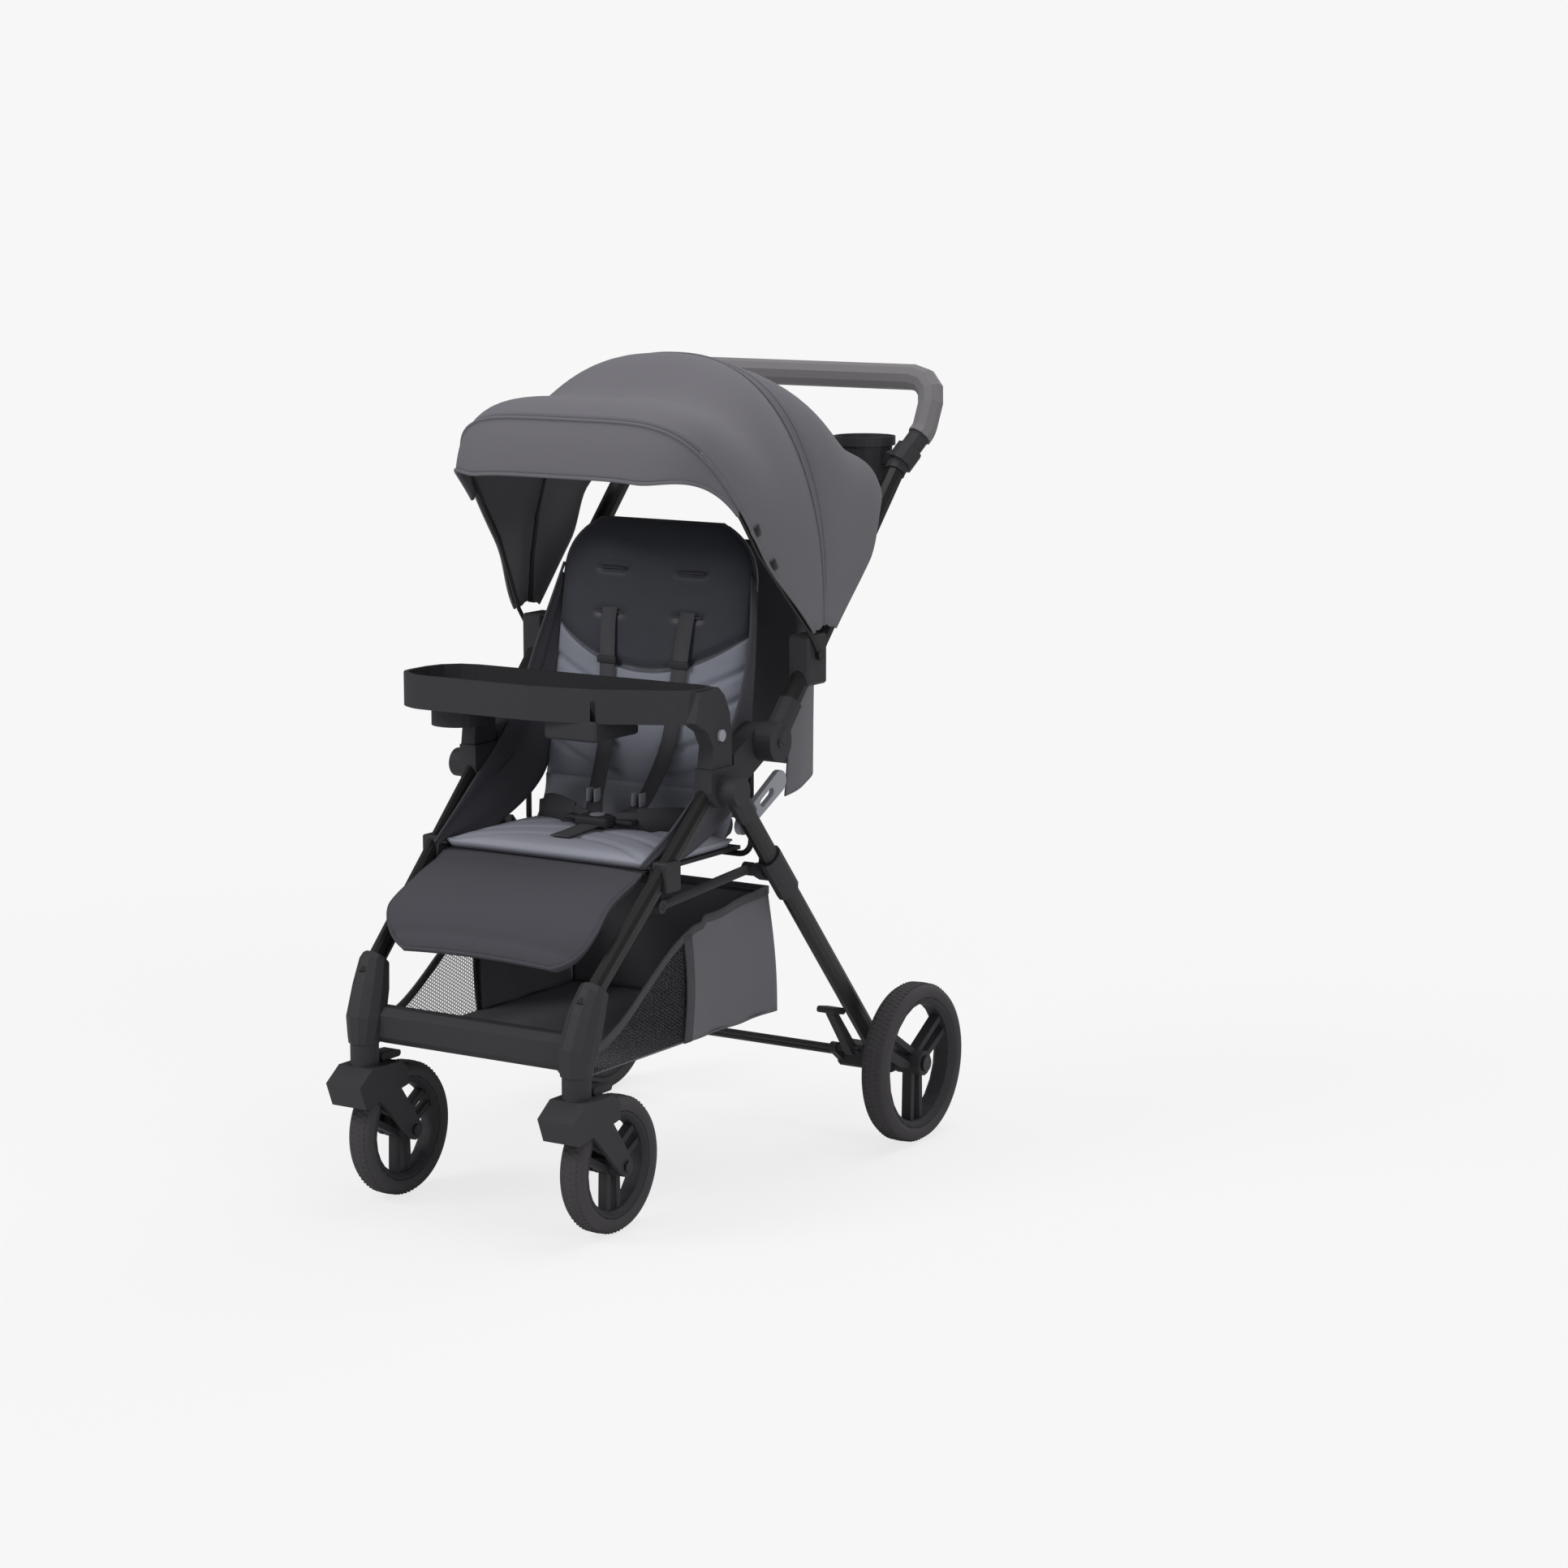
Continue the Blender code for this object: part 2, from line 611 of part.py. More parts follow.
def rear_frame():
    axle, slope = rear_leg_line()
    both("rear_leg", lambda: (rear_leg_shape(),), "black_tube")
    cap = cross_rod(OUTER_X, REAR_PIVOT, REAR_CAP_R, 24)
    sock = [side_point((OUTER_X[0] + OUTER_X[1]) / 2, along(REAR_PIVOT, slope, d))
            for d in (0.0, 0.046)]
    sleeve = tube(sock, ((OUTER_X[1] - OUTER_X[0]) / 2, REAR_LEG_HALF_DEPTH + 0.0025), sides=12)
    boss = cross_rod((OUTER_X[0] - 0.0033, OUTER_X[0] + 0.001), REAR_PIVOT, 0.0055, 16)
    both("rear_leg_cap", lambda: (cap, [sleeve, boss], [rear_leg_shape(GAP)]), "black_plastic")

    tip = REAR_TRACK / 2 + REAR_TYRE_W / 2
    shaft = cross_rod((-tip, tip), axle, REAR_AXLE_R, 16)
    nuts = [cross_rod((s * (tip + GAP), s * (tip + 0.004)), axle, 0.011, 12) for s in (1, -1)]
    stub = cross_rod((-tip - 0.001, tip + 0.001), axle, REAR_AXLE_R - 0.001, 16)
    put("rear_axle", shaft, "black_tube", add=(stub, *nuts))

    wheel_face = REAR_TRACK / 2 - REAR_TYRE_W / 2 - RUN
    block = side_box((0.150, wheel_face - 0.0005), (axle[0] - 0.017, axle[0] + 0.017),
                     (axle[1] - 0.016, axle[1] + 0.016), 0.004)
    cuff = tube([side_point(REAR_LEG_X, along(axle, slope + math.pi, d)) for d in (0.002, 0.036)],
                (REAR_LEG_HALF_X + 0.0028, REAR_LEG_HALF_DEPTH + 0.003), sides=12)
    clip = prism(capsule(BRAKE_ROD, (axle[0] - 0.012, axle[1]), 0.0075, 0.009), (0.152, 0.162))
    bore = cross_rod((0.1, 0.3), axle, REAR_AXLE_R + GAP, 16)
    rod_bore = cross_rod((0.1, 0.3), BRAKE_ROD, BRAKE_ROD_R + RUN, 12)
    leg = rear_leg_shape(GAP)
    both("axle_housing", lambda: (block, [cuff, clip], [bore, rod_bore, leg]), "black_plastic")


def brake_bar():
    """The link rod with a foot pedal at each end."""
    bar = cross_rod((-0.196, 0.196), BRAKE_ROD, BRAKE_ROD_R, 12)
    toe = (BRAKE_ROD[0] - 0.050, BRAKE_ROD[1] + 0.062)
    arm = prism(capsule(BRAKE_ROD, toe, 0.0075, 0.005, 5), (0.176, 0.188))
    pad = prism(capsule((toe[0] - 0.014, toe[1] + 0.006), (toe[0] + 0.010, toe[1] + 0.001),
                        0.0045, 0.0045, 4), (0.170, 0.196))
    put("brake_bar", bar, "black_plastic", add=(arm, mirrored(arm), pad, mirrored(pad)))


# Seat rails and collars


def seat_rails():
    def make():
        slope = math.atan2(RAIL_REAR[1] - RAIL_FRONT[1], RAIL_REAR[0] - RAIL_FRONT[0])
        bar = tube([side_point(RAIL_X, RAIL_FRONT), side_point(RAIL_X, RAIL_REAR)], RAIL_R, 12)
        eyes = [cross_rod((RAIL_X - RAIL_R + 0.0003, RAIL_X + RAIL_R), end, 0.0090, 16)
                for end in (RAIL_FRONT, RAIL_REAR)]
        hole = cross_rod((RAIL_X - 0.02, RAIL_X + 0.02), RAIL_FRONT, 0.003 + RUN, 12)
        return bar, eyes, [hole]
    both("seat_rail", make, "black_plastic")


def leg_collars():
    """The collars that slide on the rear legs and end in a short boss beside each rail."""
    slope = rear_leg_line()[1]
    middle = along(REAR_PIVOT, slope, COLLAR_REACH)
    ends = [side_point(REAR_LEG_X, along(middle, slope, d)) for d in (-0.034, 0.034)]
    body = tube(ends, (REAR_LEG_HALF_X + 0.003, REAR_LEG_HALF_DEPTH + 0.0045), sides=12)
    boss = prism(capsule(RAIL_REAR, middle, 0.008, 0.012),
                 (RAIL_X + RAIL_R + RUN, REAR_LEG_X - REAR_LEG_HALF_X))
    bore = rear_leg_shape(RUN, 0.0)
    both("leg_collar", lambda: (body, [boss], [bore]), "black_plastic")


def storage_latch():
    """The grey slotted tab on the left rear leg that holds the folded frame."""
    slope = rear_leg_line()[1]
    hinge = along(REAR_PIVOT, slope, LATCH_REACH)
    tip = along(hinge, math.radians(28), 0.098)
    x = (0.1915, REAR_LEG_X - REAR_LEG_HALF_X - 0.0020)
    plate = prism(capsule(hinge, tip, 0.012, 0.0145), x)
    slot = prism(capsule(along(hinge, math.radians(28), 0.050),
                         along(hinge, math.radians(28), 0.074), 0.0058, 0.0058, 6), (0.18, 0.21))
    boss = cross_rod((x[1] - 0.002, REAR_LEG_X - REAR_LEG_HALF_X - GAP), hinge, 0.005, 12)
    put("storage_latch", plate, "latch_grey", add=(boss,), cut=(slot,))


# Push frame


def handle_path():
    """Half of the handle's centre line, from the push tube to the middle of the bar."""
    low, above = (along(KNUCKLE, PUSH_SLOPE, PUSH_LENGTH + d) for d in (0.0, 0.010))
    return [side_point(PUSH_X, low), side_point(PUSH_X, above),
            at(HANDLE_HALF_W - 0.004, HANDLE_Y - 0.026, HANDLE_Z - 0.068),
            at(HANDLE_HALF_W, HANDLE_Y, HANDLE_Z), at(0, HANDLE_Y, HANDLE_Z)]


def whole_handle(leg=0, share=0.0):
    """The handle's centre line from one side to the other, starting part way up one leg."""
    half = handle_path()
    full = [half[leg].lerp(half[leg + 1], share), *half[leg + 1:-1]]
    full += [Vector((-p.x, p.y, p.z)) for p in full[::-1]]
    return rounded(full, HANDLE_BEND, 3)


def push_frame():
    tube_top = along(KNUCKLE, PUSH_SLOPE, PUSH_LENGTH - 0.0005)
    tube_foot = along(KNUCKLE, PUSH_SLOPE, 0.016)

    def push_tube(extra=0.0):
        return tube([side_point(PUSH_X, along(tube_foot, PUSH_SLOPE, -extra)),
                     side_point(PUSH_X, tube_top)], PUSH_R + extra)

    both("push_tube", lambda: (push_tube(),), "black_tube")
    disc = cross_rod(OUTER_X, KNUCKLE, KNUCKLE_R, 22)
    cuff_ends = [side_point(PUSH_X, along(KNUCKLE, PUSH_SLOPE, d)) for d in (0.0, 0.062)]
    cuff = tube(cuff_ends, PUSH_R + 0.003)
    trim = side_box((0.15, OUTER_X[0] + 0.0002), (0.2, 0.45), (0.45, 0.75))
    boss = cross_rod((OUTER_X[0] - 0.0095, OUTER_X[0] + 0.004), KNUCKLE, 0.006, 16)
    bolt = cross_rod((OUTER_X[1] - 0.001, OUTER_X[1] + 0.002), KNUCKLE, 0.007, 12)
    both("push_knuckle", lambda: (disc, [cuff], [trim, push_tube(GAP)], [boss, bolt]),
         "black_plastic")

    put("handle_bar", tube(whole_handle(), HANDLE_R), "black_plastic")
    core = tube(whole_handle(), HANDLE_R + GAP)
    grip_path = whole_handle(1, 0.82)
    put("foam_grip", tube(grip_path, GRIP_R), "grip_foam", cut=(core,))


def cup_holder():
    """The cup with a rim, held by a clamp round the left side of the handle."""
    centre = (CUP_X, CUP_Y)
    foot = CUP_TOP - CUP_HEIGHT
    outer = rod(at(*centre, foot), at(*centre, CUP_TOP - 0.010), CUP_FOOT_R, 22, CUP_R - 0.004)
    rim = rod(at(*centre, CUP_TOP - 0.012), at(*centre, CUP_TOP), CUP_R, 22)
    hollow = rod(at(*centre, foot + CUP_WALL), at(*centre, CUP_TOP + 0.004),
                 CUP_FOOT_R - CUP_WALL, 22, CUP_R - CUP_WALL)
    arm = side_box((CUP_X + 0.028, PUSH_X - 0.006), (CUP_Y - 0.012, CUP_Y + 0.012),
                   (CUP_TOP - 0.038, CUP_TOP - 0.018), 0.003)
    low, high = handle_path()[1:3]
    clamp = tube([low.lerp(high, 0.08), low.lerp(high, 0.46)], HANDLE_R + 0.004)
    core = tube(whole_handle(), HANDLE_R + GAP)
    put("cup_holder", outer, "black_plastic", add=(rim, arm, clamp), cut=(hollow, core))


# Canopy


def soft_step(value, low, high):
    """0 below low, 1 above high and smooth between."""
    share = min(1.0, max(0.0, (value - low) / (high - low)))
    return share * share * (3 - 2 * share)


def arch(angle, reach, phi, power, inset=0.0):
    """A point of the canopy: an arch in a plane through the pivot line at one angle."""
    c, s = math.cos(phi), math.sin(phi)
    r = 1 / (abs(c) ** power + abs(s) ** power) ** (1 / power)
    rho = (reach - inset) * r * s
    ahead = min(1.0, max(0.0, (angle - REAR_BOW_ANGLE) / (FRONT_BOW_ANGLE - REAR_BOW_ANGLE)))
    side = TOP_HALF_W + (FRONT_HALF_W - TOP_HALF_W) * ahead
    half_w = CANOPY_FOOT_W + (side - CANOPY_FOOT_W) * soft_step(rho, *CANOPY_WAIST)
    return at((half_w - inset) * r * c, CANOPY_PIVOT[0] + rho * math.cos(angle),
              CANOPY_PIVOT[1] + rho * math.sin(angle))


def span(u, low):
    """The arch angle for a share across, from foot to foot, with more steps at the corners."""
    turn = low + (math.pi - 2 * low) * u
    return turn + 0.07 * math.sin(4 * turn)


def sagging(v):
    """How far the cloth hangs in between two hoops; it lies flat in a band beside each."""
    return soft_step(min(v, 1 - v), HOOP_BAND, 0.5)


def canopy():
    def front(u, row):
        v = soft_step(row, 0, 1)
        angle = FRONT_BOW_ANGLE + SEAM / 2 + (REAR_BOW_ANGLE - FRONT_BOW_ANGLE - 2 * SEAM) * v
        reach = FRONT_ARCH + (TOP_ARCH - FRONT_ARCH) * v - FRONT_SLACK * sagging(v)
        power = FRONT_BOW_POWER + (REAR_BOW_POWER - FRONT_BOW_POWER) * v
        return arch(angle, reach, span(u, 0.08), power)

    def rear(u, row):
        v = soft_step(row, 0, 1)
        phi = span(u, 0.08 + 0.04 * v)
        edge = REAR_EDGE_ANGLE + REAR_EDGE_LIFT * soft_step(min(phi, math.pi - phi), 0.50, 0.70)
        angle = REAR_BOW_ANGLE - 3 * SEAM + (edge - REAR_BOW_ANGLE) * v
        sag = 1 - 0.05 * v * math.sin(math.pi * u) ** 2
        reach = (TOP_ARCH + (REAR_ARCH - TOP_ARCH) * v) * sag - REAR_SLACK * sagging(v)
        return arch(angle, reach, phi, REAR_BOW_POWER + (REAR_EDGE_POWER - REAR_BOW_POWER) * v)

    def visor(u, v):
        phi = span(u, VISOR_END)
        wide = 0.12 + 0.88 * soft_step(min(phi, math.pi - phi), VISOR_END, 1.05)
        angle = FRONT_BOW_ANGLE + SEAM / 2 + VISOR_SEAM + (VISOR_ANGLE - FRONT_BOW_ANGLE) * v * wide
        reach = FRONT_ARCH - 0.0005 + (VISOR_ARCH - FRONT_ARCH) * v * wide
        return arch(angle, reach, phi, FRONT_BOW_POWER)

    for name, surface, across, down in (("canopy_front_panel", front, 22, 6),
                                        ("canopy_rear_panel", rear, 22, 6),
                                        ("canopy_visor", visor, 20, 2)):
        bm = sheet(surface, across, down)
        bmesh.ops.recalc_face_normals(bm, faces=bm.faces)
        top = max(bm.faces, key=lambda f: f.calc_center_median().z)
        if top.normal.z < 0:
            bmesh.ops.reverse_faces(bm, faces=bm.faces)
        put(name, bm, "canopy_cloth", wall=CANOPY_WALL)

    steps = 22

    def bow(angle, reach, power, foot=()):
        turns = [*foot, *(span(i / steps, 0.08) for i in range(steps + 1)),
                 *(math.pi - turn for turn in foot)]
        return [arch(angle, reach, turn, power, BOW_INSET) for turn in turns]

    eye_x = (BOW_X - BOW_R, BOW_X + BOW_R)
    eye = cross_rod(eye_x, CANOPY_PIVOT, 0.007, 12)
    hole = cross_rod((0.2, 0.25), CANOPY_PIVOT, 0.003 + RUN, 10)
    put("canopy_front_bow", tube(bow(FRONT_BOW_ANGLE, FRONT_ARCH, FRONT_BOW_POWER, (0.010,)), BOW_R, 6),
        "black_tube", add=(eye, mirrored(eye)), cut=(hole, mirrored(hole)))
    put("canopy_rear_bow", tube(bow(REAR_BOW_ANGLE, TOP_ARCH + GAP, REAR_BOW_POWER), BOW_R, 6),
        "black_tube")

    y, z = CANOPY_PIVOT
    block = side_box((PUSH_X - 0.016, BOW_X - BOW_R - GAP), (y - 0.022, y + 0.024),
                     (z - 0.040, z + 0.026), 0.003)
    pin = cross_rod((BOW_X - BOW_R - 0.004, BOW_X + BOW_R), CANOPY_PIVOT, 0.003, 12)
    passage = tube([side_point(PUSH_X, along(KNUCKLE, PUSH_SLOPE, d)) for d in (0.05, 0.24)],
                   PUSH_R + GAP)
    both("canopy_mount", lambda: (block, [pin], [passage]), "black_plastic")


# Seat


def pillow(low, high, crown, tuck, cells, groove=None):
    """A cushion in a flat frame: crowned top with sewn grooves, drawn-in sides, flat underside."""
    bm = bmesh.new()
    nx, ny = cells

    def outline(i, j, swell):
        """A grid place, drawn in along the middle of each side."""
        u, v = i / nx, j / ny
        x, y = low[0] + (high[0] - low[0]) * u, low[1] + (high[1] - low[1]) * v
        x += ((i == 0) - (i == nx)) * (tuck * math.sin(math.pi * v) - swell)
        y += ((j == 0) - (j == ny)) * (tuck * math.sin(math.pi * u) - swell)
        return x, y

    top = []
    for j in range(ny + 1):
        line = []
        for i in range(nx + 1):
            x, y = outline(i, j, 0.0)
            rise = math.sqrt(max(0.0, math.sin(math.pi * i / nx) * math.sin(math.pi * j / ny)))
            z = high[2] - crown * (1 - rise)
            if groove and 0 < i < nx and 0 < j < ny:
                z -= groove(x, y)
            line.append(bm.verts.new((x, y, z)))
        top.append(line)
    for j in range(ny):
        for i in range(nx):
            bm.faces.new((top[j][i], top[j][i + 1], top[j + 1][i + 1], top[j + 1][i]))
    rim = ([(i, 0) for i in range(nx)] + [(nx, j) for j in range(ny)]
           + [(i, ny) for i in range(nx, 0, -1)] + [(0, j) for j in range(ny, 0, -1)])
    middle = [bm.verts.new((*outline(i, j, tuck * SWELL), (low[2] + high[2]) / 2)) for i, j in rim]
    bottom = [bm.verts.new((*outline(i, j, 0.0), low[2])) for i, j in rim]
    for n, (i, j) in enumerate(rim):
        m = (n + 1) % len(rim)
        above, beside = top[j][i], top[rim[m][1]][rim[m][0]]
        bm.faces.new((bottom[n], bottom[m], middle[m], middle[n]))
        bm.faces.new((middle[n], middle[m], beside, above))
    bm.faces.new(bottom[::-1])
    bmesh.ops.recalc_face_normals(bm, faces=bm.faces)
    return bm


def valley(distance, depth, width):
    """How far a sewn line pulls the cloth down at a distance from it."""
    return depth * math.exp(-(distance / width) ** 2)


def seat():
    floor = PAN_BOTTOM + PAN_THICK + GAP
    low = at(-SEAT_HALF_W, PAN_Y[0] + 0.004, floor)
    high = at(SEAT_HALF_W, PAN_Y[1] - 0.022, floor + CUSHION_THICK)

    def crease(x, y):
        return valley(y - low[1] - 0.125 + 1.6 * x * x, CHANNEL_DEPTH * 0.7, 0.009)

    put("seat_cushion", pillow(low, high, 0.009, 0.006, (8, 14), crease), "seat_light", sharp=50)

    rear = (PAN_Y[0] - 0.0036, PAN_BOTTOM + PAN_THICK)
    slope = math.atan2(rear[1] - LEG_REST_FRONT[1], rear[0] - LEG_REST_FRONT[0])
    length = math.dist(rear, LEG_REST_FRONT)

    def pucker(x, y):
        return valley(y - 0.012, PUCKER_DEPTH * (0.5 + 0.5 * math.sin(x * PUCKERS)), 0.014)

    pad = pillow((-SEAT_HALF_W, 0.0, -LEG_REST_THICK / 2),
                 (SEAT_HALF_W, length, LEG_REST_THICK / 2), 0.007, 0.004, (26, 7), pucker)
    for vert in pad.verts:
        share = 1 - vert.co.y / length
        corner = max(0.0, share - 0.62) / 0.38
        widen = 1 - 0.03 * (1 - share) + 0.06 * min(1.0, max(0.0, (share - 0.55) / 0.2))
        vert.co.x *= widen * math.sqrt(max(0.05, 1 - 0.55 * corner ** 2.2))
    place = Matrix.Translation(side_point(0, LEG_REST_FRONT)) @ Matrix.Rotation(slope, 4, "X")
    bmesh.ops.transform(pad, matrix=place, verts=pad.verts)
    put("leg_rest", pad, "seat_satin", sharp=50)


def back_frame(distance, out=0.0):
    """A side-view place up the seat back, moved out in front of it."""
    y, z = along(BIGHT, BACK_SLOPE, distance)
    return y - out * math.sin(BACK_SLOPE), z + out * math.cos(BACK_SLOPE)


def seat_back():
    start = BIGHT_R + GAP + SWELL * BACK_TUCK

    def channels(x, y):
        """The seam between the two cloths, and the channels sewn below it."""
        seam = valley(y - SEAM_RISE - 2.4 * x * x, CHANNEL_DEPTH, 0.008)
        return seam + sum(valley(y - SEAM_RISE + drop - 2.0 * x * x, CHANNEL_DEPTH, 0.008)
                          for drop in CHANNEL_DROPS)

    pad = pillow((-BACK_HALF_W, start, 0.0), (BACK_HALF_W, BACK_LENGTH, BACK_THICK), 0.010,
                 BACK_TUCK, (10, 30), channels)
    for vert in pad.verts:
        share = vert.co.y / BACK_LENGTH
        corner = max(0.0, share - 0.80) / 0.20
        vert.co.x *= (1 - 0.05 * share) * math.sqrt(max(0.1, 1 - 0.45 * corner ** 2.5))
    place = Matrix.Translation(side_point(0, BIGHT)) @ Matrix.Rotation(BACK_SLOPE, 4, "X")
    bmesh.ops.transform(pad, matrix=place, verts=pad.verts)
    put("seat_back_pad", pad, "seat_satin", sharp=50)

    def shell(u, v):
        """Side, back and side of the cloth pocket behind the seat back."""
        if u in (0, 1):
            place = back_frame(0.040 + 0.300 * v, BACK_THICK * 0.4)
            x = BACK_HALF_W * (1 - 0.05 * (0.040 + 0.300 * v) / BACK_LENGTH) + SHELL_WALL + GAP / 2
            return side_point(x if u == 0 else -x, place)
        bulge = 0.086 - 0.050 * v
        turn = math.pi * u
        c, s = math.cos(turn), math.sin(turn)
        r = 1 / (abs(c) ** 5 + abs(s) ** 5) ** 0.2
        y = 0.380 + 0.040 * v + (bulge + 0.030) * r * s
        return at(SHELL_X * r * c, y, 0.500 + 0.022 * r * s + 0.300 * v)

    bm = sheet(shell, 16, 4)
    bmesh.ops.recalc_face_normals(bm, faces=bm.faces)
    back = max(bm.faces, key=lambda f: f.calc_center_median().y)
    if back.normal.y < 0:
        bmesh.ops.reverse_faces(bm, faces=bm.faces)
    put("seat_shell", bm, "canopy_cloth", wall=SHELL_WALL)


def cross_band(points, width, thickness):
    """A flat strap that runs sideways, lying level."""
    bm = bmesh.new()
    half = width / 2
    rings = [[bm.verts.new(Vector(place) + Vector((0, dy, dz))) for dy, dz in
              ((half, 0), (-half, 0), (-half, thickness), (half, thickness))] for place in points]
    for here, there in zip(rings, rings[1:]):
        for j in range(4):
            k = (j + 1) % 4
            bm.faces.new((here[j], here[k], there[k], there[j]))
    bm.faces.new(rings[0][::-1])
    bm.faces.new(rings[-1])
    bmesh.ops.recalc_face_normals(bm, faces=bm.faces)
    return bm


def harness():
    """Shoulder straps, and the buckle with its lap and crotch straps and its button."""
    floor = PAN_BOTTOM + PAN_THICK + CUSHION_THICK + 2 * GAP - 0.001
    front = BACK_THICK + 0.0006
    yoke_y = BUCKLE_Y + BUCKLE_HALF[1]

    def shoulder(x):
        upper = [side_point(x, back_frame(d, front)) for d in (0.290, 0.20, 0.11, 0.070)]
        lower = [at(x * 0.70, yoke_y + 0.016, floor + 0.024),
                 at(x * 0.45, yoke_y + 0.005, floor + 0.010)]
        return band(upper + lower, STRAP_W, STRAP_THICK)

    yoke = side_box((-0.028, 0.028), (yoke_y + GAP, yoke_y + 0.010),
                    (floor + 0.005, floor + 0.012), 0.001)
    put("shoulder_straps", yoke, "webbing", add=(shoulder(0.045), shoulder(-0.045)))

    half_x, half_y = BUCKLE_HALF
    body = side_box((-half_x, half_x), (BUCKLE_Y - half_y, BUCKLE_Y + half_y),
                    (floor + 0.001, floor + 0.016), 0.004)
    well = rod(at(0, BUCKLE_Y, floor + 0.010), at(0, BUCKLE_Y, floor + 0.03), 0.0102, 20)
    crotch = band([at(0, BUCKLE_Y - d, floor + h) for d, h in
                   ((half_y - 0.004, 0.005), (0.050, 0.004), (0.082, 0.002))], 0.030, STRAP_THICK)
    laps = [cross_band([at(s * (half_x - 0.004), BUCKLE_Y, floor + 0.007),
                        at(s * 0.080, BUCKLE_Y + 0.026, floor + 0.006),
                        at(s * 0.135, BUCKLE_Y + 0.052, floor + 0.004)], STRAP_W, STRAP_THICK)
            for s in (1, -1)]
    put("harness_buckle", body, "black_plastic", add=(crotch, *laps), cut=(well,))
    put("buckle_button", rod(at(0, BUCKLE_Y, floor + 0.0126), at(0, BUCKLE_Y, floor + 0.0185),
                             0.0098, 20), "latch_grey")


# Basket


def basket():
    """The cargo basket: floor, two sloping sides, a high back and a low front, open on top."""
    w, t = BASKET_HALF_W, BASKET_WALL
    y0, y1 = BASKET_FRONT, BASKET_REAR
    outline = [(y0, BASKET_FLOOR), (y1, BASKET_FLOOR), (y1 - 0.020, BASKET_TOP),
               (y1 - 0.150, BASKET_TOP - 0.012), (y1 - 0.158, BASKET_TOP - 0.020),
               (y0 + 0.004, BASKET_LIP), (y0, BASKET_LIP)]
    inner = [(y0 + t, BASKET_FLOOR + t), (y1 - t, BASKET_FLOOR + t),
             (y1 - 0.020 - t, BASKET_TOP + 0.01), (y1 - 0.40, BASKET_TOP + 0.06),
             (y0 + t, BASKET_LIP + 0.1)]
    put("basket", prism(outline, (-w, w)), "canopy_cloth",
        cut=(prism(inner, (-w + t, w - t)),))


# Tray


def slab(outline, z):
    """A top-view outline of (x, y) places, extruded between two heights."""
    bm = bmesh.new()
    lower = [bm.verts.new(at(x, y, z[0])) for x, y in outline]
    upper = [bm.verts.new(at(x, y, z[1])) for x, y in outline]
    count = len(outline)
    bm.faces.new(lower)
    bm.faces.new(upper[::-1])
    for i in range(count):
        bm.faces.new((lower[i], upper[i], upper[(i + 1) % count], lower[(i + 1) % count]))
    bmesh.ops.recalc_face_normals(bm, faces=bm.faces)
    return bm


def tray_outline(inset=0.0):
    """The tray from above: a lobe on the right, and a front that falls back to the left arm."""
    half_w, (y0, y1) = TRAY_HALF_W - inset, (TRAY_Y[0] + inset, TRAY_Y[1] - inset)
    end, deep = TRAY_ARM_X[1] - 0.001 - inset, y1 - y0
    corners = [Vector((x, y, 0)) for x, y in
               ((0.0, y1), (-half_w, y1), (-half_w, y0 + 0.16 * deep), (-0.190, y0), (-0.010, y0),
                (0.080, y0 + 0.14 * deep), (end, y0 + 0.60 * deep), (end, y1), (0.0, y1))]
    return [(p.x, p.y) for p in rounded(corners, 0.050 - inset, 3)][:-1]


def tray():
    y0, y1 = TRAY_Y
    z0, z1 = TRAY_Z
    dish = slab(tray_outline(), TRAY_Z)
    inside = slab(tray_outline(TRAY_WALL), (z0 + TRAY_WALL, z1 + 0.02))
    cup = (-0.168, (y0 + y1) / 2)
    well_out = rod(at(*cup, z0 - 0.026), at(*cup, z0 + 0.003), 0.036, 24)
    well_in = rod(at(*cup, z0 - 0.023), at(*cup, z0 + 0.03), 0.033, 24)
    tub_out = side_box((0.005, 0.085), (y0 + 0.014, y1 - 0.016), (z0 - 0.024, z0 + 0.003), 0.003)
    tub_in = side_box((0.008, 0.082), (y0 + 0.017, y1 - 0.019), (z0 - 0.021, z0 + 0.03), 0.002)
    arm = prism([(0.150, z0 + 0.003), (0.160, z1 - 0.003), (0.202, z1 - 0.0006),
                 (0.216, z1 - 0.012), (0.228, 0.632), (0.2328, 0.600), (0.2328, SHELF_Z + GAP),
                 (0.186, SHELF_Z + GAP), (0.190, 0.592), (0.178, 0.612)], TRAY_ARM_X)
    x, y = TRAY_POST
    low, high = SHELF_Z - 0.01, SHELF_Z + 0.022 + RUN
    bore = rod(at(-x, y, low), at(-x, y, high), TRAY_POST_R + RUN, 16)
    slot = side_box((x - TRAY_POST_R - 0.0018, x + TRAY_POST_R + 0.0018), (y - 0.0062, y + 0.04),
                    (low, high))
    buttons = [cross_rod((s * (TRAY_ARM_X[1] - 0.012), s * (TRAY_ARM_X[1] + 0.01)),
                         (y - 0.002, SHELF_Z + 0.042), 0.0080, 16) for s in (1, -1)]
    put("tray", dish, "black_plastic", add=(well_out, tub_out, arm, mirrored(arm)),
        cut=(inside, well_in, tub_in, bore, slot, *buttons))
    for side, s in SIDES:
        knob = cross_rod((s * (TRAY_ARM_X[1] - 0.0065), s * (TRAY_ARM_X[1] + 0.003)),
                         (y - 0.002, SHELF_Z + 0.042), 0.0077, 16)
        put(f"tray_button_{side}", knob, "latch_grey")


